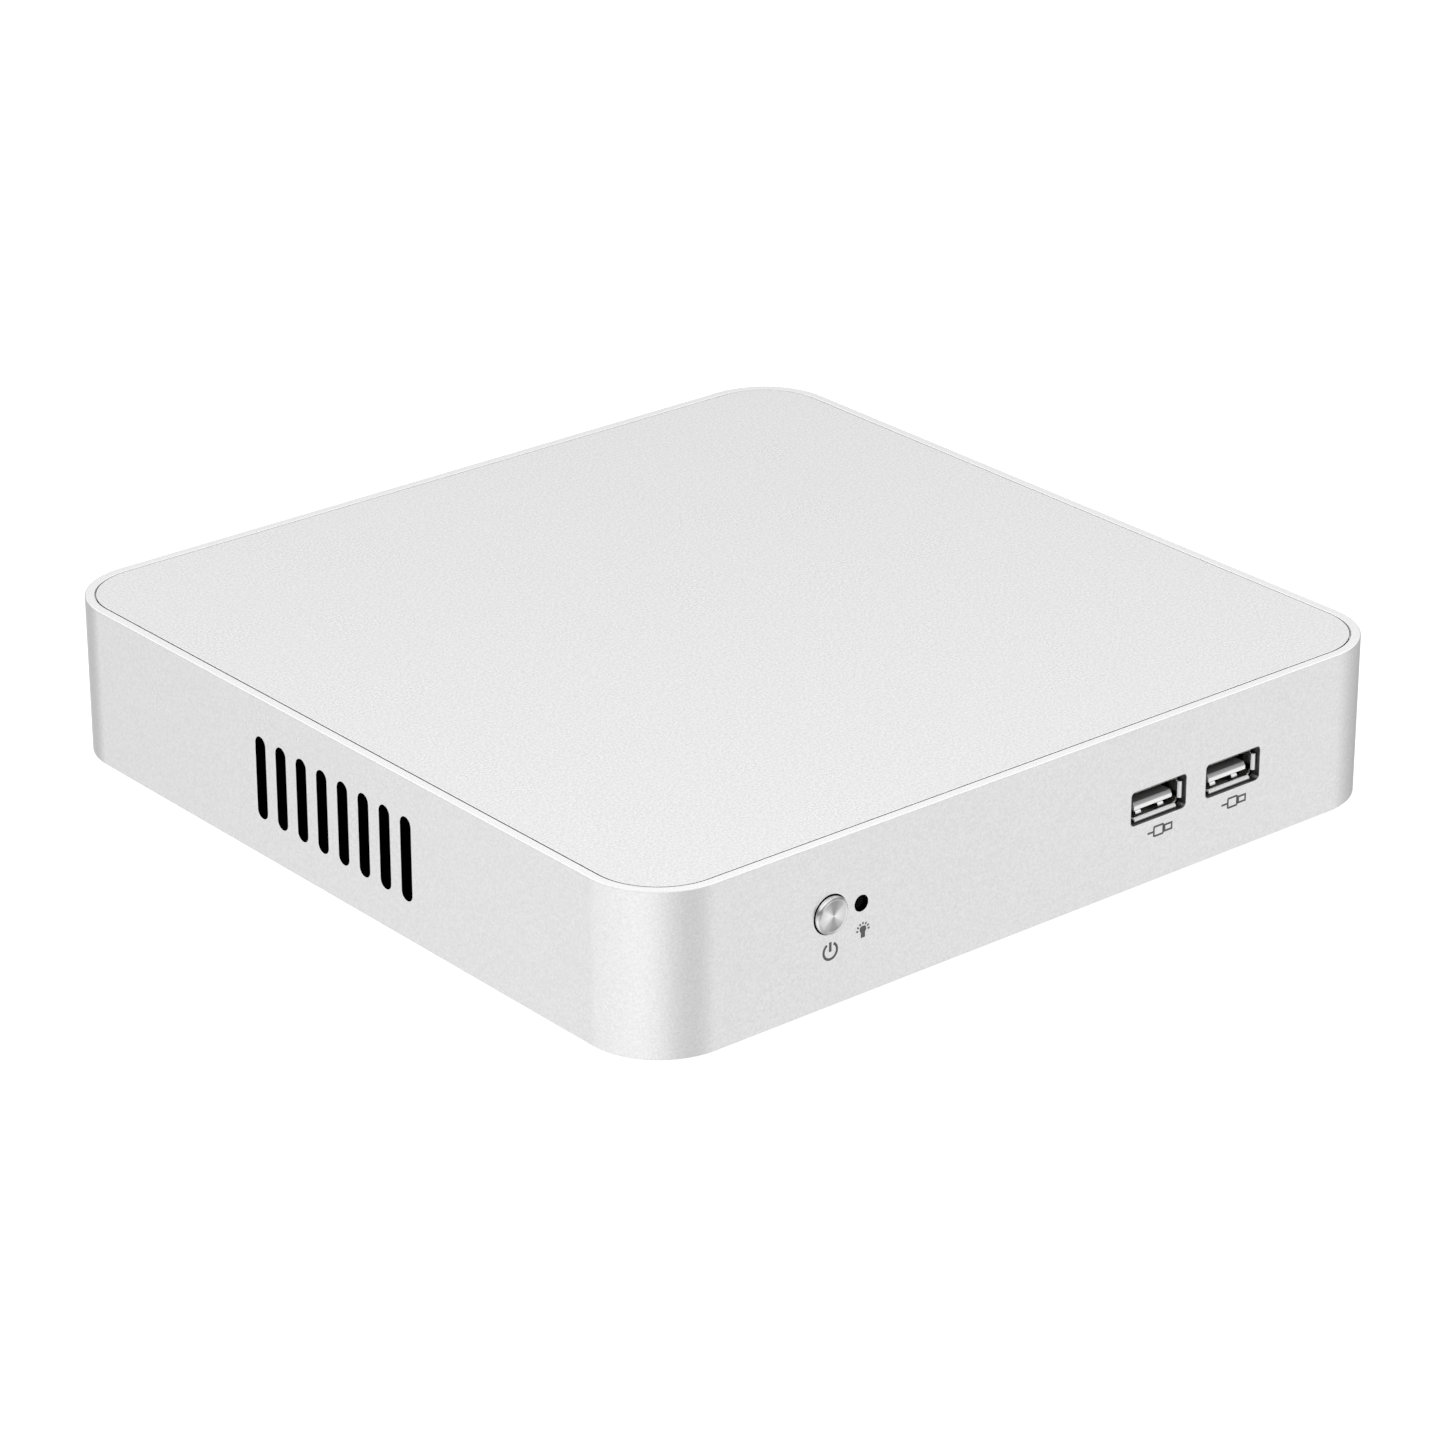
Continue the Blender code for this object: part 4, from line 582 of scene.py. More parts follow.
def solder_mask(name):
    """A green board with faint copper tracks under the lacquer."""
    finish, tree, shader = new_material(name)
    inputs = {"Vector": object_point(tree), "Scale": 55.0}
    regions = add_node(tree, "TexVoronoi", inputs, distance="CHEBYCHEV")
    rings = math_node(tree, "FRACT", math_node(tree, "MULTIPLY", regions.outputs["Distance"], 9.0))
    tracks = map_range(tree, rings, (0.55, 0.70), (0.0, 1.0), "SMOOTHSTEP")
    green = mix_colours(tree, tracks, (0.010, 0.085, 0.035), (0.024, 0.150, 0.065))
    gloss = spread(tree, object_noise(tree, 300.0), 0.25, 0.40)
    set_surface(tree, shader, green, gloss, bump(tree, tracks, 0.3, 0.03))
    return finish


def depth_faded(name, levels):
    """A smooth finish whose grey level follows the depth inside the front USB sockets, used for painted shade
    and painted light.
    """
    finish, tree, shader = new_material(name)
    start = USB_LIP + 0.3
    depth = map_range(tree, split_xyz(tree, object_point(tree))["Y"], (start * MM, (start + FADE_DEPTH) * MM),
                      (0.0, 1.0))
    grain = object_noise(tree, 1200.0)
    gloss = spread(tree, grain, 0.40, 0.48)
    colour = grey_ramp(tree, depth, levels)
    set_surface(tree, shader, colour, gloss, bump(tree, grain, 0.2, 0.01), specular=0.2)
    return finish


# Painted highlights and painted shade round a turned part: (angle in degrees from X towards Z, brightness)
FACE_PAINTED_HIGHLIGHTS = [
    (0, 1.0), (25, 0.92), (50, 0.55), (75, 0.40), (95, 0.40), (125, 0.66), (150, 1.0), (180, 1.0),
    (205, 0.90), (235, 0.58), (260, 0.44), (280, 0.46), (305, 0.70), (330, 1.0),
]
EDGE_PAINTED_HIGHLIGHTS = [
    (0, 1.0), (30, 0.78), (60, 0.50), (90, 0.50), (108, 0.72), (122, 0.85), (138, 0.72), (153, 0.42),
    (168, 0.62), (185, 0.90), (210, 0.72), (235, 0.48), (265, 0.55), (290, 0.90), (310, 1.0), (345, 1.0),
]
# Painted shade on the tongue and painted light on the shell's floor in the front USB sockets, changing
# inwards: (share of the fade's depth, grey level)
FADE_DEPTH = 4.0
TONGUE_SHADE_LEVELS = [
    (0.020, 0.90), (0.030, 0.45), (0.11, 0.30), (0.16, 0.17), (0.50, 0.13), (0.75, 0.08), (0.85, 0.01),
    (1.0, 0.004),
]
FLOOR_PAINTED_LIGHT = [(0.0, 0.70), (0.20, 0.95), (1.0, 0.95)]

# Each textured finish has two colours, a range of roughness, metallic, grain per metre, and its bump
ALUMINIUM = blasted_aluminium("anodised_aluminium", 0.88)
PANEL = blasted_aluminium("anodised_panel", 0.815, 0.17)
BUTTON_FACE = turned_metal("turned_face", FACE_PAINTED_HIGHLIGHTS, 0.24, 0.7)
BUTTON_EDGE = turned_metal("turned_edge", EDGE_PAINTED_HIGHLIGHTS, 0.16, 0.2)
NICKEL = textured("nickel_plate", (0.80, 0.80, 0.78), (0.88, 0.88, 0.86), (0.14, 0.20), 1.0, 900.0)
NICKEL_DARK = textured("nickel_shadowed", 0.20, 0.25, (0.40, 0.50), 0.3, 900.0, specular=0.1)
# Painted shade on the outermost faces of the USB lips
NICKEL_RIM_PAINTED_SHADE = textured("nickel_rim_painted_shade", 0.30, 0.36, (0.30, 0.40), 1.0, 900.0)
# Painted light: the shell's deep floor is far paler than the nickel, and paler inwards
NICKEL_FLOOR_PAINTED_LIGHT = depth_faded("nickel_floor_painted_light", FLOOR_PAINTED_LIGHT)
TONGUE = depth_faded("tongue_plastic_painted_shade", TONGUE_SHADE_LEVELS)
# Painted shade on the USB cut-outs' walls, and a painted highlight at their lower corners
CUTOUT_PAINTED_SHADE = textured("cutout_painted_shade", 0.105, 0.145, (0.30, 0.38), 0.8, 1200.0, specular=0.2)
CUTOUT_PAINTED_HIGHLIGHT = textured("cutout_corner_painted_highlight", 0.36, 0.44, (0.30, 0.38), 0.8, 1200.0)
TIP = textured("polished_tip", 0.92, 0.98, (0.30, 0.38), 1.0, 900.0)
# Painted highlight: a paler metal on the softened edges of the slots and front openings
PAINTED_HIGHLIGHT_EDGE = textured("painted_highlight_edge", 0.96, 1.0, (0.55, 0.65), 1.0, 1500.0)
STEEL = textured("spring_steel", (0.45, 0.45, 0.45), (0.55, 0.55, 0.56), (0.22, 0.32), 1.0, 1200.0)
ZINC = textured("zinc_plate", (0.52, 0.52, 0.50), (0.66, 0.66, 0.63), (0.28, 0.40), 1.0, 700.0)
GOLD = textured("gold_contact", (0.80, 0.58, 0.22), (0.90, 0.68, 0.30), (0.18, 0.26), 1.0, 900.0)
FINS = textured("extruded_fins", (0.62, 0.63, 0.64), (0.74, 0.75, 0.76), (0.32, 0.42), 1.0, 900.0,
                stretch=(1.0, 0.08, 1.0))
POWDER = textured("powder_coat", 0.016, 0.030, (0.50, 0.68), 0.0, 1600.0, 0.05, 0.6)
BLACK = textured("black_moulding", 0.006, 0.012, (0.42, 0.55), 0.0, 1800.0, 0.02, 0.4)
# Near-black: painted shade for gaps, slots and recesses
PAINTED_SHADE_BLACK = textured("painted_shade_black", 0.0001, 0.0004, (0.85, 0.95), 0.0, 1200.0, specular=0.0)
SMOKED = textured("smoked_lens", 0.0002, 0.0006, (0.10, 0.16), 0.0, 800.0, 0.005, 0.1, specular=0.03)
RUBBER = textured("black_rubber", 0.010, 0.018, (0.72, 0.85), 0.0, 1400.0, 0.03, 0.5)
WHITE = textured("white_moulding", (0.83, 0.83, 0.82), (0.88, 0.88, 0.87), (0.28, 0.36), 0.0, 900.0)
IVORY = textured("ivory_moulding", (0.62, 0.58, 0.46), (0.70, 0.66, 0.54), (0.38, 0.50), 0.0, 900.0)
BLUE = textured("display_blue", (0.008, 0.030, 0.20), (0.012, 0.042, 0.26), (0.35, 0.45), 0.0, 900.0)
GREEN = textured("audio_green", (0.08, 0.36, 0.12), (0.12, 0.44, 0.16), (0.30, 0.40), 0.0, 900.0)
AMBER_LAMP = textured("amber_lamp", (0.55, 0.30, 0.05), (0.62, 0.35, 0.07), (0.18, 0.25), 0.0, 900.0)
GREEN_LAMP = textured("green_lamp", (0.10, 0.40, 0.10), (0.13, 0.46, 0.13), (0.18, 0.25), 0.0, 900.0)
EPOXY = textured("chip_epoxy", 0.014, 0.024, (0.55, 0.70), 0.0, 1500.0, 0.02, 0.4)
THERMAL = textured("thermal_pad", (0.30, 0.31, 0.33), (0.40, 0.41, 0.43), (0.80, 0.90), 0.0, 1200.0)
PRINT = textured("grey_print", 0.085, 0.115, (0.60, 0.75), 0.0, 2500.0, specular=0.2)
MESH = woven_mesh("dust_mesh")
BOARD = solder_mask("solder_mask")


# Case


def rear_cutters():
    """Openings in the rear wall for the sockets."""
    vga_x, vga_level = VGA_PLACE
    outlines = [
        partial(circle, 4.6, DC_PLACE, 48),
        partial(d_outline, 8.9, 4.8, 1.2, VGA_PLACE),
        partial(circle, 3.2, (vga_x - VGA_NUT_REACH, vga_level), SMALL_STEPS),
        partial(circle, 3.2, (vga_x + VGA_NUT_REACH, vga_level), SMALL_STEPS),
        hdmi_hole,
        partial(rounded_rectangle, 8.3, 7.1, 0.4, LAN_PLACE, 5),
        partial(rounded_rectangle, 7.7, 8.3, 0.4, REAR_USB_PLACE, 5),
        partial(circle, 3.4, AUDIO_PLACE, SMALL_STEPS),
    ]
    return [soft_cutter(outline_at, REAR, INNER - PAST_WALL, "Y", 0.10) for outline_at in outlines]


def wall_cutters():
    """The openings in the case's walls, each with a softened outer edge; the edges of the slots and front
    openings carry a painted highlight.
    """
    bright = []
    for side in (-1, 1):
        for middle in SLOT_MIDDLES:
            outline_at = partial(stadium, *SLOT_HALF, (middle, SLOT_LEVEL))
            bright.append(soft_cutter(outline_at, side * HALF, side * (INNER - PAST_WALL), "X", 0.08))
    fronts = [(partial(usb_cutout, middle), 0.12) for middle in USB]
    fronts.append((partial(circle, BUTTON_HOLE, BUTTON_CENTRE, ROUND_STEPS), 0.06))
    fronts.append((partial(circle, LAMP_HOLE, (LAMP.x, LAMP.z), SMALL_STEPS), 0.10))
    for outline_at, soften in fronts:
        bright.append(soft_cutter(outline_at, FRONT, FRONT + WALL + PAST_WALL, "Y", soften))
    plain = rear_cutters()
    for cutters, finish in ((bright, PAINTED_HIGHLIGHT_EDGE), (plain, ALUMINIUM)):
        for cutter in cutters:
            cutter.data.materials.append(finish)
    return bright + plain


def make_case():
    """The one-piece wall with its rim, ledge and screw posts."""
    edge, inner_edge, foot_edge = 0.25, 0.1, 0.1
    profile = [(foot_edge, CASE_BOTTOM), (0.0, CASE_BOTTOM + foot_edge)]
    profile += [(edge * inset, CASE_TOP - edge * drop) for inset, drop in quarter_round(4)]
    for drop, _ in quarter_round(3):
        profile.append((WALL - inner_edge * (1 - drop), CASE_TOP - inner_edge * drop))
    profile += [
        (WALL, LEDGE_TOP),
        (LEDGE_REACH, LEDGE_TOP),
        (LEDGE_REACH, LEDGE_UNDERSIDE),
        (WALL, LEDGE_UNDERSIDE),
        (WALL, CASE_BOTTOM),
    ]
    case = loft("case_frame", [(case_outline(inset), level) for inset, level in profile], ring=True)
    case.data.materials.append(ALUMINIUM)
    post_foot = COVER_TOP + GAP
    posts = [prism("post", circle(5.5, spot), post_foot, LEDGE_UNDERSIDE + 0.5) for spot in CORNER_SPOTS]
    holes = [hole(spot, 1.5, COVER_TOP - 1.0, post_foot + 9.0) for spot in CORNER_SPOTS]
    for tool in posts + holes:
        tool.data.materials.append(ALUMINIUM)
    fuse(case, *posts)
    cut(case, *holes, *wall_cutters())
    place(case, ALUMINIUM, stands_for=["body_frame"])


def make_top_panel():
    """The flat plate let into the rim, with a softened edge."""
    margin, edge = WALL + 0.26, 0.1
    sections = [(case_outline(margin), PANEL_LOW.z)]
    for inset, drop in quarter_round(3):
        sections.append((case_outline(margin + edge * inset), PANEL_HIGH.z - edge * drop))
    place(loft("inlaid_panel", sections), PANEL, stands_for=["top_panel"])


def make_slot_painted_shades():
    """Near-black collars that line the vent slots right up to the outer surface: painted shade in the slots.
    """
    clearance, thickness, recess = 0.02, 0.3, 0.035
    for side, name in ((-1, "slot_painted_shade_left"), (1, "slot_painted_shade_right")):
        collars = []
        for middle in SLOT_MIDDLES:
            spot = (middle, SLOT_LEVEL)
            outer, inner = (stadium(*SLOT_HALF, spot, -inset) for inset in (clearance, thickness))
            collars.append(sleeve("collar", outer, inner, side * (HALF - recess), side * (INNER - 0.2), "X"))
        place(merge(name, collars), PAINTED_SHADE_BLACK)


# Button and lamp


def rounded_profile(inner_radius, outer_radius, top, drop, steps=8):
    """A quarter-round edge as (radius, level) pairs, from the flat face out to the side."""
    reach = outer_radius - inner_radius
    return [(outer_radius - reach * side, top + drop * down) for down, side in quarter_round(steps)]


def make_button():
    """The turned cap with its rounded edge, a flange and a stem, and near-black rings of painted shade in the
    gaps round it and the lamp.
    """
    flange_front = FRONT + WALL + GAP
    flange_back = flange_front + 0.8
    dish = BUTTON_FRONT + 0.03
    profile = [
        (0.35, BUTTON_FRONT + 0.02),
        (0.6, dish),
        (FACE_RADIUS - 0.05, dish),
        (FACE_RADIUS, BUTTON_FRONT),
        *rounded_profile(FACE_RADIUS + 0.06, CAP_RADIUS, BUTTON_FRONT, 0.58),
        (CAP_RADIUS, flange_front),
        (4.8, flange_front),
        (4.8, flange_back),
        (1.5, flange_back),
        (1.5, BUTTON_BACK),
    ]
    cap = turned("turned_button", profile, BUTTON_CENTRE, "Y", 96)
    cap.data.materials.append(BUTTON_FACE)
    cap.data.materials.append(BUTTON_EDGE)
    for face in cap.data.polygons:
        across = Vector((face.center.x / MM - BUTTON.x, face.center.z / MM - BUTTON.z)).length
        face.material_index = 0 if across < FACE_RADIUS - 0.01 else 1
    place(cap, BUTTON_FACE, body="power_button", stands_for=["power_button_cap"])
    wall_back = FRONT + WALL
    # Near-black rings: painted shade in the gaps round the button and the lamp
    surround = ring_piece("button_gap_shade", 3.88, 4.01, FRONT + 0.10, wall_back, BUTTON_CENTRE, ROUND_STEPS)
    place(surround, PAINTED_SHADE_BLACK)
    bezel = ring_piece("lamp_gap_shade", 1.32, 1.64, FRONT + 0.05, wall_back, (LAMP.x, LAMP.z))
    place(bezel, PAINTED_SHADE_BLACK)


def make_spring():
    """The button's coil spring."""
    low, high = box_mm("button_spring")
    wire, coil, turns, per_turn, sides = 0.25, 2.7, 3.5, 28, 12
    pitch = (high.y - low.y - 2 * wire) / turns
    loops = []
    for step in range(round(turns * per_turn) + 1):
        angle = 2 * math.pi * step / per_turn
        outwards = Vector((math.cos(angle), 0, math.sin(angle)))
        middle = Vector((BUTTON.x, low.y + wire + pitch * step / per_turn, BUTTON.z)) + outwards * coil
        section = circle(1.0, steps=sides)
        loops.append([middle + (outwards * u + Vector((0, 1, 0)) * v) * wire for u, v in section])
    spring = skin("return_spring", loops)
    place(spring, STEEL, stands_for=["button_spring"])
    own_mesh(spring)


# Printed signs

SIGN_LEVELS = (FRONT - 0.015, FRONT + 0.03)
POWER_SIGN_LEVEL = CASE_TOP - 22.4
LAMP_SIGN_LEVEL = CASE_TOP - 22.1
PLUG_SIGN_LEVEL = CASE_TOP - 23.3


def sign_plate(outline):
    """A printed shape on the front wall, a few hundredths thick."""
    return prism("sign", outline, *SIGN_LEVELS, "Y")


def arc_outline(centre, inner, outer, first, last, steps=40):
    """A band round part of a circle, between two angles in degrees."""
    angles = [math.radians(first + (last - first) * step / steps) for step in range(steps + 1)]
    return around(centre, outer, angles) + around(centre, inner, angles)[::-1]


def bar_outline(start, end, width):
    """A straight bar between two points."""
    begin, finish = Vector(start), Vector(end)
    along = (finish - begin).normalized()
    side = Vector((-along.y, along.x)) * width / 2
    return [tuple(begin + side), tuple(finish + side), tuple(finish - side), tuple(begin - side)]


def make_power_sign():
    """A broken circle with a bar, for the power button."""
    x, level = BUTTON.x, POWER_SIGN_LEVEL
    plates = [
        sign_plate(arc_outline((x, level), 1.36, 1.88, 120, 420)),
        sign_plate(bar_outline((x, level - 0.1), (x, level + 1.85), 0.60)),
    ]
    place(merge("power_sign", plates), PRINT)


def make_lamp_sign():
    """A small hand torch with rays, for the lamp."""
    x, level = LAMP.x + 0.4, LAMP_SIGN_LEVEL
    side = [(0.50, 0.0), (0.52, 1.1), (0.80, 1.5), (0.76, 2.1), (0.40, 2.38)]
    torch = [(x + u, level + v) for u, v in side] + [(x - u, level + v) for u, v in reversed(side)]
    plates = [sign_plate(torch)]
    head = (x, level + 1.55)
    rays = 7
    angles = [math.pi * ray / (rays - 1) for ray in range(rays)]
    for start, end in zip(around(head, 1.14, angles), around(head, 1.62, angles)):
        plates.append(sign_plate(bar_outline(start, end, 0.36)))
    place(merge("lamp_sign", plates), PRINT)


def make_plug_signs():
    """A flat plug on its lead, in outline, under each USB socket."""
    line = 0.42
    level = PLUG_SIGN_LEVEL
    for number, middle in enumerate(USB, 1):
        x = middle.x + 0.5
        plates = []
        grip = (1.45, 1.2, 0.4, 0.1, x - 0.35)
        shell = (1.15, 0.85, 0.1, 0.02, x + 2.2)
        for half_u, half_v, corner, inner_corner, frame_x in (grip, shell):
            outer = rounded_rectangle(half_u, half_v, corner, (frame_x, level))
            inner = rounded_rectangle(half_u - line, half_v - line, inner_corner, (frame_x, level))
            plates.append(sleeve("sign", outer, inner, *SIGN_LEVELS))
        plates.append(sign_plate(bar_outline((x - 3.3, level), (x - 1.75, level), line)))
        place(merge(f"plug_sign_{number}", plates), PRINT)


# Front USB sockets


def flap_section(outward, depth):
    """Cross-section of a lip that flares outwards to the front: (across, depth) pairs.

    outward is +1 or -1 for the side it flares to; depth is the lip's foremost level.
    """
    pairs = [(0.0, 1.35), (0.0, 0.60), (0.06, 0.40), (0.19, 0.22), (0.36, 0.09), (0.54, 0.02), (0.70, 0.0),
             (0.82, 0.08), (0.77, 0.20), (0.50, 0.42), (0.32, 0.66), (0.30, 1.35)]
    return [(outward * across, depth + down) for across, down in pairs]


def make_usb_shell(number, middle):
    """The sheet shell with four flared lips, with painted shade inside, on the upper lip and on the lips'
    outer faces, and painted light on its deep floor.
    """
    half_u, half_v, _ = USB_INSIDE
    back = box_mm(f"front_usb_shell_{number}")[1].y
    centre = (middle.x, middle.z)
    outer, inner = (rounded_rectangle(*USB_INSIDE, centre, 5, grow) for grow in (USB_SHEET, 0.0))
    shell = sleeve(f"usb_shell_{number}", outer, inner, TUBE_FRONT, back)
    flaps = []
    for side in (-1, 1):
        section = flap_section(side, FLAP_LIP)
        level, edge = middle.z + side * half_v, middle.x + side * half_u
        outline = [(depth, level + across) for across, depth in section]
        flaps.append(prism("flap", outline, middle.x - FLAP_HALF_WIDTH, middle.x + FLAP_HALF_WIDTH, "X"))
        outline = [(edge + across, depth) for across, depth in section]
        flaps.append(prism("flap", outline, middle.z - FLAP_HALF_HEIGHT, middle.z + FLAP_HALF_HEIGHT))
    fuse(shell, *flaps)
    for finish in (NICKEL, NICKEL_DARK, NICKEL_RIM_PAINTED_SHADE, NICKEL_FLOOR_PAINTED_LIGHT):
        shell.data.materials.append(finish)
    for face in shell.data.polygons:
        spot = face.center / MM
        flare = max(abs(spot.x - middle.x) - half_u, abs(spot.z - middle.z) - half_v)
        on_floor = abs(spot.z - middle.z + half_v) < 0.05 and abs(spot.x - middle.x) < half_u
        upper_lip = spot.z > middle.z + half_v + 0.02
        deep = spot.y > FLAP_LIP + 0.60
        # Painted light on the deep floor, painted shade on the upper lip and deep inside, painted shade on
        # the lips' outermost faces
        if on_floor and deep:
            face.material_index = 3
        elif upper_lip or deep:
            face.material_index = 1
        elif flare > 0.50:
            face.material_index = 2
    soften_edges(shell, 0.05)
    place(shell, NICKEL, stands_for=[f"front_usb_shell_{number}"])


def make_usb_cutout_shade(number, middle):
    """The lining of the cut-out round one shell: painted shade on its walls, with a painted highlight at its
    lower corners.
    """
    outer, inner = (usb_cutout(middle, -inset) for inset in (0.02, 0.16))
    liner = sleeve(f"usb_cutout_shade_{number}", outer, inner, FRONT + 0.12, FRONT + WALL)
    liner.data.materials.append(CUTOUT_PAINTED_SHADE)
    liner.data.materials.append(CUTOUT_PAINTED_HIGHLIGHT)
    half_u, half_v, corner = USB_CUTOUT
    for face in liner.data.polygons:
        spot = face.center / MM
        # Painted highlight on the lower corners of the cut-out
        turned_up = spot.z < middle.z - half_v + 0.7 * corner
        if turned_up and abs(spot.x - middle.x) > half_u - 0.8 * corner:
            face.material_index = 1
    place(liner, CUTOUT_PAINTED_SHADE)


def spring_strip(x, level, start, height, up):
    """A sprung strip bent away from the socket's floor or roof, ending in a round tip."""
    thick, half_width = 0.22, 0.75
    curve = [(0.0, 0.10), (0.12, 0.55), (0.45, 0.92), (0.95, 1.0), (1.6, 0.85), (3.0, 0.45), (5.0, 0.0)]
    outside = [(start + depth, level + up * height * rise) for depth, rise in curve]
    inside = [(start + depth + 0.08, level + up * (height * rise - thick)) for depth, rise in curve]
    return prism("strip", outside + inside[::-1], x - half_width, x + half_width, "X")


def make_usb_springs(number, middle):
    """The contact springs on one shell's floor and roof, and near-black patches of painted shadow beside them
    in the floor.
    """
    floor, roof = middle.z - USB_INSIDE[1], middle.z + USB_INSIDE[1]
    start = USB_LIP + 0.25
    places = [middle.x - 0.9 + side * 2.95 for side in (-1, 1)]
    strips = [spring_strip(x, floor + 0.52, start, 0.68, 1) for x in places]
    floor_springs = merge(f"usb_springs_{number}", strips)
    soften_edges(floor_springs, 0.12, 3)
    place(floor_springs, TIP, angle=60)
    # Near-black patches in the floor beside the springs: painted shadow
    shadow_middles = [x + 1.95 for x in places]
    windows = bars(shadow_middles, 0.75, start + 1.4, start + 3.6, floor + 0.005, floor + 0.03)
    place(merge(f"usb_painted_shadows_{number}", windows), PAINTED_SHADE_BLACK)
    strips = [spring_strip(x, roof - 0.12, start + 1.1, 0.85, -1) for x in places]
    roof_springs = merge(f"usb_roof_springs_{number}", strips)
    soften_edges(roof_springs, 0.08)
    place(roof_springs, NICKEL_DARK, angle=60)


def make_usb_tongue(number, middle):
    """The white tongue with a chamfered front and painted shade that darkens it inwards, its block and four
    contacts.
    """
    node = f"front_usb_tongue_{number}"
    low, high = box_mm(node)
    front = low.y
    block_front = front + TONGUE_LENGTH
    underside = middle.z - 1.30
    upper_side = middle.z + 0.25
    outline = [
        (front + 0.10, underside),
        (front, underside + 0.10),
        (front, underside + 0.70),
        (front + 0.06, underside + 0.80),
        (front + 0.50, upper_side),
        (block_front + 0.5, upper_side),
        (block_front + 0.5, underside),
    ]
    tongue = prism(f"usb_tongue_{number}", outline, middle.x - 5.0, middle.x + 5.0, "X")
    # Painted shade: the tongue's top and front darken inwards with depth; its underside stays white
    tongue.data.materials.append(TONGUE)
    tongue.data.materials.append(WHITE)
    for face in tongue.data.polygons:
        if face.normal.z < -0.9:
            face.material_index = 1
    soften_edges(tongue, 0.12, 3)
    apply_modifiers(tongue)
    reach = Vector((USB_INSIDE[0] - GAP, 0, USB_INSIDE[1] - GAP))
    block_low, block_high = middle - reach, middle + reach
    block = box("block", (block_low.x, block_front, block_low.z), (block_high.x, high.y, block_high.z))
    block.data.materials.append(TONGUE)
    fuse(tongue, block)
    place(tongue, TONGUE, stands_for=[node])
    middles = [middle.x + spot for spot in CONTACT_PLACES]
    contacts = bars(middles, 0.5, front + 2.6, block_front, underside - 0.12, underside + 0.02)
    place(merge(f"usb_contacts_{number}", contacts), GOLD)


# Rear sockets


def make_vga_insert():
    """The display socket's insert with its fourteen contact holes, on its block."""
    low, high = box_mm("vga_insert")
    shell_back = box_mm("vga_shell")[0].y
    insert = prism("vga_contacts", d_outline(7.5, 3.3, 1.2, VGA_PLACE), shell_back - 1.0, high.y, "Y")
    x, level = VGA_PLACE
    spots = []
    for count, spot_level in ((5, level - 2.0), (4, level), (5, level + 2.0)):
        spots += [(u, spot_level) for u in row(x, count, 2.3)]
    funnel = [(0.48, high.y - 3.0), (0.48, high.y - 0.15), (0.72, high.y + 0.1), (0.72, high.y + 0.3)]
    fuse(insert, box("block", low, (high.x, shell_back - GAP, high.z)))
    cut(insert, *[turned("pin_hole", funnel, spot, "Y", 20) for spot in spots])
    place(insert, BLUE, stands_for=["vga_insert"])


def make_hdmi_contacts():
    """Rows of flat contacts over and under the video socket's tongue."""
    face = box_mm("hdmi_tongue")[1].y
    x, level = HDMI_PLACE
    contacts = []
    for count, side in ((10, level + 1.1), (9, level + 0.1)):
        contacts += bars(row(x, count, 1.0), 0.22, face - 5.0, face - 0.5, side - 0.05, side + 0.05)
    place(merge("hdmi_contacts", contacts), GOLD)


def make_lan_block():
    """The network socket's block, with a framed mouth, recessed lamp windows and eight contacts."""
    low, high = box_mm("lan_socket")
    x, level = LAN_PLACE
    face = high.y
    deep, past = face - 15.0, face + 1
    block = box("lan_block", low, high)
    opening = box("opening", (x - 5.9, deep, level - 4.4), (x + 5.9, past, level + 2.6))
    fuse(opening, box("notch", (x - 3.1, deep, level + 2.0), (x + 3.1, past, level + 5.2)))
    lamp_places = (x - 5.4, x + 5.4)
    cut(block, opening, *bars(lamp_places, 1.3, face - 0.8, past, level + 3.9, level + 5.4))
    soften_edges(block, 0.15)
    place(block, BLACK, stands_for=["lan_socket"])
    finishes = (("lan_lamp_amber", AMBER_LAMP), ("lan_lamp_green", GREEN_LAMP))
    for u, (name, finish) in zip(lamp_places, finishes):
        lamp = box(name, (u - 1.25, face - 0.75, level + 3.95), (u + 1.25, face - 0.1, level + 5.35))
        soften_edges(lamp, 0.1)
        place(lamp, finish)
    near, far = face - 2.4, face - 11.0
    outline = [(near, level - 4.1), (near, level - 3.8), (far, level - 0.6), (far, level - 0.95)]
    contacts = [prism("contact", outline, u - 0.17, u + 0.17, "X") for u in row(x, 8, 1.02)]
    place(merge("lan_contacts", contacts), GOLD)


def make_rear_usb_contacts():
    """Four contacts under each tongue of the rear sockets, and the springs beside the tongues."""
    face = box_mm("rear_usb_core")[1].y
    x, level = REAR_USB_PLACE
    middles = [x + spot for spot in CONTACT_PLACES]
    bend = [(0.4, 0.0), (2.6, 0.7), (3.4, 0.7), (6.0, 0.0)]
    bend += [(6.0, -0.02), (3.4, 0.5), (2.6, 0.5), (0.4, -0.02)]
    contacts = []
    springs = []
    for side in (-1, 1):
        underside = level + side * 4.7 - 0.2
        contacts += bars(middles, 0.5, face - 8.0, face - 1.4, underside - 0.1, underside + 0.05)
        floor = level - REAR_USB_FLOORS[side]
        outline = [(face - depth, floor + rise) for depth, rise in bend]
        springs += [prism("spring", outline, u - 0.7, u + 0.7, "X") for u in (x - 3.0, x + 3.0)]
    place(merge("rear_usb_contacts", contacts), GOLD)
    place(merge("rear_usb_springs", springs), NICKEL)


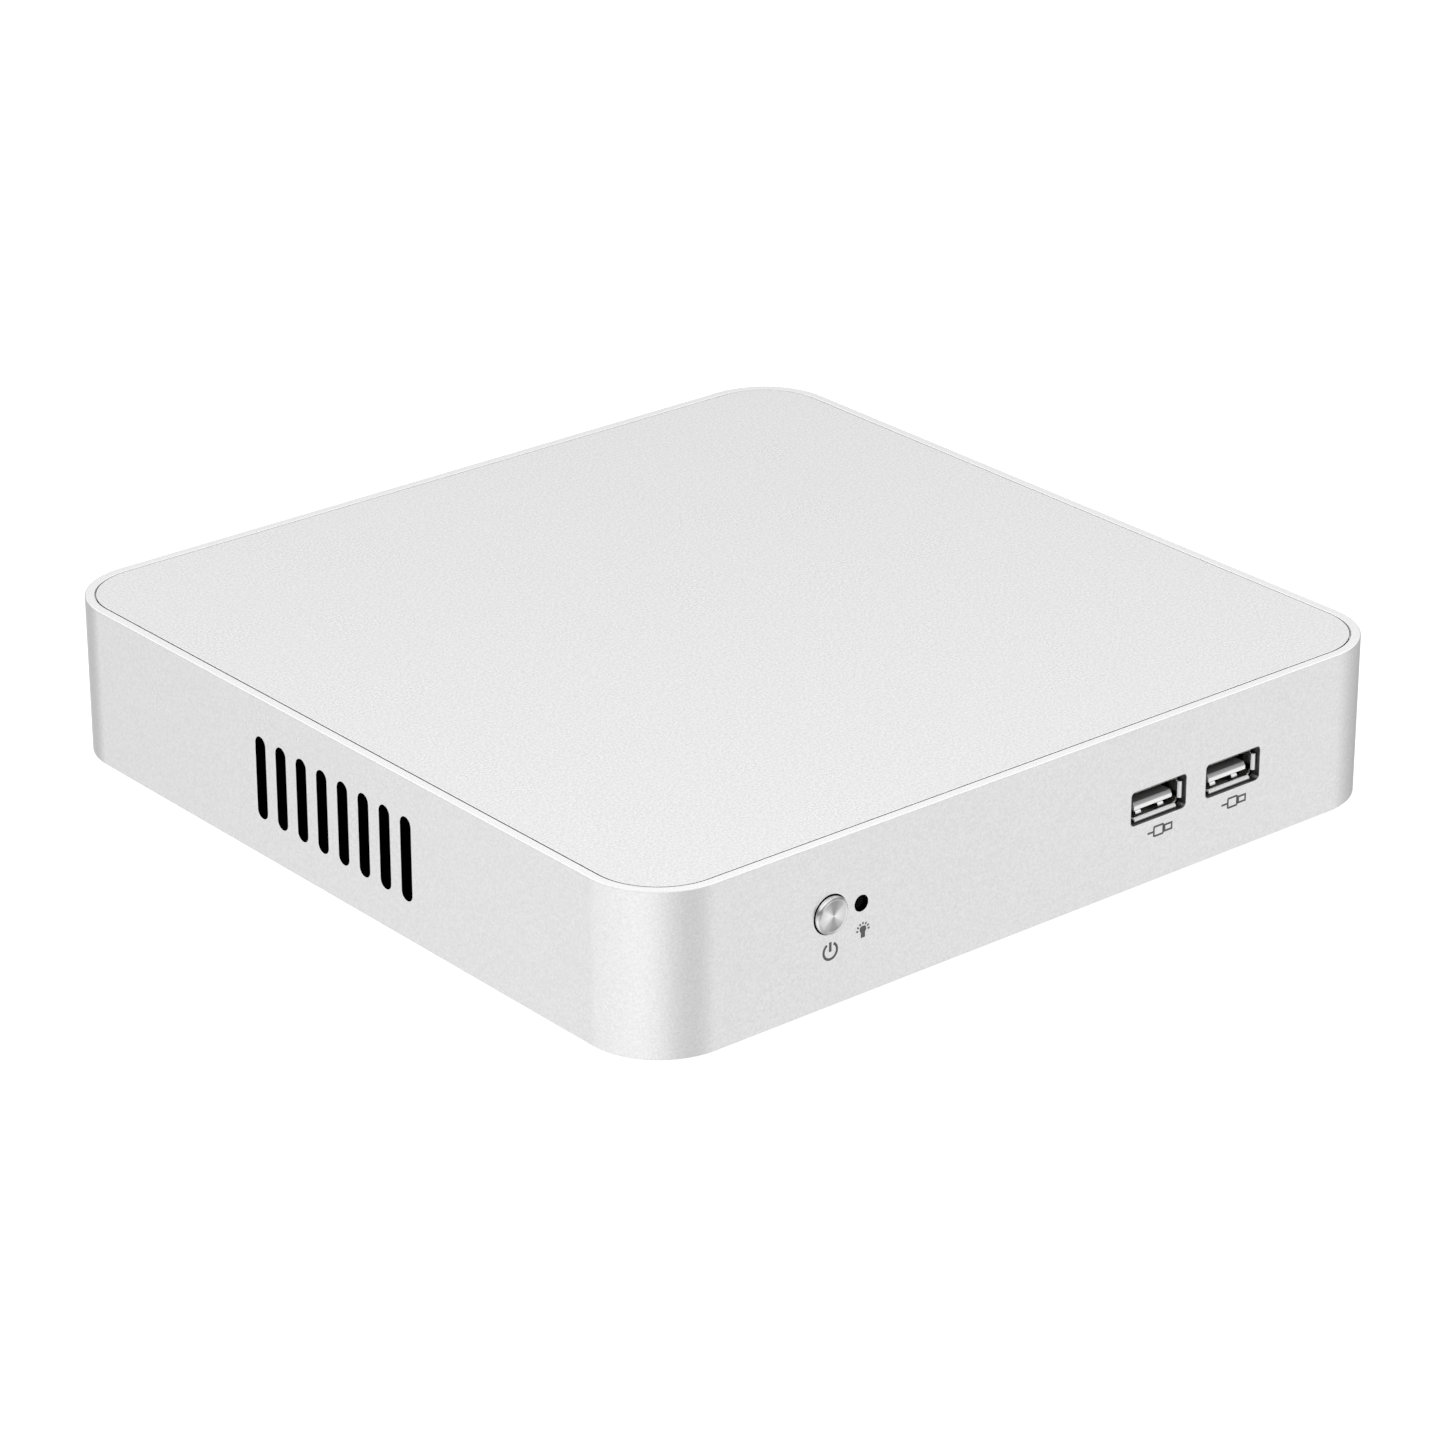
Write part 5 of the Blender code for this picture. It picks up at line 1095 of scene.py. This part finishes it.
def make_round_socket_metal():
    """The power inlet's pin sleeve and the headphone socket's spring ring."""
    face = box_mm("dc_inlet")[1].y
    depths = [(1.13, 9.0), (1.24, 9.0), (1.24, 1.25), (0.66, 0.84), (0.60, 0.84), (1.13, 1.2)]
    profile = [(radius, face - depth) for radius, depth in depths]
    pin = turned("dc_pin_sleeve", profile, DC_PLACE, "Y", SMALL_STEPS, ring=True)
    place(pin, NICKEL)
    face = box_mm("audio_socket")[1].y
    place(ring_piece("audio_ring", 1.5, 1.78, face - 0.5, face - 2.0, AUDIO_PLACE), NICKEL)


# Underside


def make_bottom_cover():
    """The painted sheet with countersunk holes and the board's standoffs."""
    margin, edge = WALL + GAP, 0.12
    sections = [(case_outline(margin + edge), CASE_BOTTOM), (case_outline(margin), CASE_BOTTOM + edge),
                (case_outline(margin), COVER_TOP)]
    cover = loft("cover_sheet", sections)
    top = COVER_HIGH.z
    standoffs = [(-72.0, -70.0), (72.0, -70.0), (-72.0, 70.0), (72.0, 70.0)]
    fuse(cover, *[prism("standoff", circle(3.0, spot, 6), COVER_TOP - 0.5, top) for spot in standoffs])
    tools = [hole(spot, 1.5, top - 7.0, top + 1.0) for spot in standoffs]
    profile = [(3.3, CASE_BOTTOM - 1.0), (3.3, CASE_BOTTOM), (1.9, COVER_TOP + 0.05), (1.9, COVER_TOP + 1.0)]
    tools += [turned("countersink", profile, spot, steps=48) for spot in CORNER_SPOTS]
    cut(cover, *tools)
    place(cover, POWDER, stands_for=["bottom_cover"])


def cross_recess(centre, face, size, depth):
    """The cutters of a cross recess, tapering away from the face."""
    x, y = centre
    arms = []
    for half_u, half_v in ((size, size * 0.22), (size * 0.22, size)):
        wide, narrow = (rectangle((x - half_u * share_u, y - half_v * share_v),
                                  (x + half_u * share_u, y + half_v * share_v))
                        for share_u, share_v in ((1.0, 1.0), (0.55, 0.75)))
        arms.append(loft("arm", [(wide, face - 0.2), (wide, face), (narrow, face + depth)]))
    return arms


def make_cover_screws():
    """Countersunk cross-head screws."""
    for number, spot in enumerate(CORNER_SPOTS, 1):
        face = box_mm(f"cover_screw_{number}")[0].z
        profile = [(2.9, face), (3.0, face + 0.08), (1.5, COVER_TOP - 0.1), (1.2, COVER_TOP + 0.2),
                   (1.2, COVER_TOP + 7.0), (0.84, COVER_TOP + 7.5)]
        piece = turned(f"cross_screw_{number}", profile, spot, steps=48)
        cut(piece, *cross_recess(spot, face, 1.7, 1.1))
        place(piece, ZINC, stands_for=[f"cover_screw_{number}"])


def make_feet():
    """Round rubber feet with a rolled edge and a dished middle."""
    for number in range(1, 5):
        node = f"rubber_foot_{number}"
        low, high = box_mm(node)
        middle = (low + high) / 2
        radius = (high.x - low.x) / 2
        profile = [(2.0, 0.22), (4.6, 0.22), (5.0, 0.03)]
        profile += [*rounded_profile(5.4, radius, 0.0, 0.6), (radius, high.z)]
        piece = turned(f"soft_foot_{number}", profile, (middle.x, middle.y))
        place(piece, RUBBER, stands_for=[node])


# The CAD nodes that stay


def numbered(name, count):
    """The names of nodes that differ only in their number."""
    return [f"{name}_{number}" for number in range(1, count + 1)]


CARRIED = [
    (MESH, ["dust_filter_left", "dust_filter_right"]),
    (SMOKED, ["light_pipe"]),
    (WHITE, ["button_guide", "fan_plug", "power_lamp"]),
    (BLACK, ["power_switch", "memory_socket", "cell_holder", "drive_socket", "fan_housing", "fan_rotor",
             "rear_usb_core", "hdmi_tongue", "dc_inlet", "fan_lead"]),
    (IVORY, ["switch_plunger"]),
    (BOARD, ["mainboard", "memory_module"]),
    (ZINC, [*numbered("board_screw", 4), *numbered("heatsink_screw", 2), *numbered("fan_screw", 2),
            *numbered("drive_screw", 2), "drive_bracket"]),
    (EPOXY, ["processor"]),
    (THERMAL, ["thermal_pad"]),
    (FINS, ["heatsink", "drive"]),
    (STEEL, ["memory_latch_front", "memory_latch_rear"]),
    (NICKEL, ["coin_cell", "vga_shell", "hdmi_shell", "rear_usb_shell"]),
    (GREEN, ["audio_socket"]),
]


def finish_carried_nodes():
    """Give each CAD node that stays its finish and slightly softened edges."""
    for finish, names in CARRIED:
        for name in names:
            node = nodes[name]
            node.data.materials.clear()
            node.data.materials.append(finish)
            soften_edges(node, 0.12)
            weigh_normals(node)


def make_memory_chips():
    """Black tops over the memory module's four chips."""
    low, high = box_mm("memory_module")
    inset, width, half_length, skin_depth = 6.0, 14.0, 5.5, 0.04
    left, right = low.x + inset - skin_depth, low.x + inset + width + skin_depth
    half_length += skin_depth
    foot, top = high.z - 0.96, high.z + skin_depth
    chips = []
    for y in row(0.0, 4, 15.5):
        chips.append(box("chip", (left, y - half_length, foot), (right, y + half_length, top)))
    piece = merge("memory_chips", chips)
    soften_edges(piece, 0.08)
    place(piece, EPOXY)


make_case()
make_top_panel()
make_slot_painted_shades()
make_button()
make_spring()
make_power_sign()
make_lamp_sign()
make_plug_signs()
for usb_number, usb_middle in enumerate(USB, 1):
    make_usb_shell(usb_number, usb_middle)
    make_usb_cutout_shade(usb_number, usb_middle)
    make_usb_springs(usb_number, usb_middle)
    make_usb_tongue(usb_number, usb_middle)
make_vga_insert()
make_hdmi_contacts()
make_lan_block()
make_rear_usb_contacts()
make_round_socket_metal()
make_bottom_cover()
make_cover_screws()
make_feet()
finish_carried_nodes()
make_memory_chips()


# Studio

# Soft boxes and dark flags round the object, below the horizon where the walls mirror them:
# (azimuth in degrees, half width in degrees, strength)
SIDE_LEVEL = 0.97
SIDE_LIGHTS = [
    (32, 110, -0.50),  # the dim far side of the studio
    (102, 34, -0.24),  # a flag behind the left wall
    (275, 65, -0.28),  # a wide flag in front
    (205, 60, 0.07),  # a soft box at the front left corner
    (315, 30, 0.13),  # a narrow soft box at the front right
]
# Overhead light: brightness at the horizon, its rise with height, and its limit
SKY = (0.08, 2.2, 1.35)
# Above the overhead light it dims again towards the zenith: where the line starts, and its fall with height
SKY_DIMMING = (2.3, -1.5)
# The side lights give way to the overhead light between these heights, in degrees
HORIZON_BAND = (-10, 15)

CAMERA_PLACE = (-605.6, -732.2, CASE_TOP + 404.3)
CAMERA_AIM = (0.5817, 0.7017, -0.4113)
CAMERA_ROLL = -0.09
CAMERA_LENS = 128.9


def make_world():
    """A pale studio: soft boxes and flags all round, brighter overhead, plain white to the camera."""
    world = bpy.data.worlds.new("studio")
    bpy.context.scene.world = world
    world.use_nodes = True
    tree = world.node_tree
    x, y, height = split_xyz(tree, add_node(tree, "TexCoord").outputs["Generated"])
    azimuth = math_node(tree, "ARCTAN2", y, x)
    side = SIDE_LEVEL
    for centre, width, strength in SIDE_LIGHTS:
        away = math_node(tree, "SUBTRACT", azimuth, math.radians(centre))
        distance = math_node(tree, "ABSOLUTE", math_node(tree, "WRAP", away, math.pi, -math.pi))
        glow = map_range(tree, distance, (0.0, math.radians(width)), (strength, 0.0), "SMOOTHSTEP")
        side = math_node(tree, "ADD", glow, side)
    horizon, rise, limit = SKY
    sky = math_node(tree, "MINIMUM", math_node(tree, "MULTIPLY_ADD", height, rise, horizon), limit)
    start, fall = SKY_DIMMING
    sky = math_node(tree, "MINIMUM", sky, math_node(tree, "MULTIPLY_ADD", height, fall, start))
    band = [math.sin(math.radians(angle)) for angle in HORIZON_BAND]
    share = map_range(tree, height, band, (0.0, 1.0), "SMOOTHSTEP")
    studio = math_node(tree, "MULTIPLY_ADD", math_node(tree, "SUBTRACT", sky, side), share, side)
    to_camera = add_node(tree, "LightPath").outputs["Is Camera Ray"]
    strength = math_node(tree, "MAXIMUM", studio, to_camera)
    feed(tree, tree.nodes["Background"], {"Color": rgba(1.0), "Strength": strength})


def make_floor():
    """A plain white floor that lights the object softly from below and keeps no reflection."""
    size = 3.0
    mesh = bpy.data.meshes.new("floor")
    corners = [(x, y, 0) for x, y in rectangle((-size, -size), (size, size))]
    mesh.from_pydata(corners, [], [(0, 1, 2, 3)])
    floor = link("floor", mesh)
    finish, tree, shader = new_material("floor_white")
    feed(tree, shader, {"Base Color": rgba(0.2), "Roughness": 0.9, "Emission Color": rgba(1.0),
                        "Emission Strength": 1.0})
    mesh.materials.append(finish)
    floor.visible_glossy = False
    floor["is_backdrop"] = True


def make_camera():
    """A long lens above the front left corner."""
    data = bpy.data.cameras.new("camera")
    data.lens = CAMERA_LENS
    data.sensor_width = 36.0
    data.clip_start = 0.01
    data.clip_end = 20.0
    camera = bpy.data.objects.new("camera", data)
    bpy.context.scene.collection.objects.link(camera)
    turn = Vector(CAMERA_AIM).to_track_quat("-Z", "Y").to_matrix().to_4x4()
    roll = Matrix.Rotation(math.radians(CAMERA_ROLL), 4, "Z")
    camera.matrix_world = Matrix.Translation(Vector(CAMERA_PLACE) * MM) @ turn @ roll
    bpy.context.scene.camera = camera


make_world()
make_floor()
make_camera()
bpy.context.scene.view_settings.view_transform = "Standard"

boxes = {"cad": cad_box, "visual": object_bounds()}
{key: [list(corner) for corner in value] for key, value in boxes.items()}
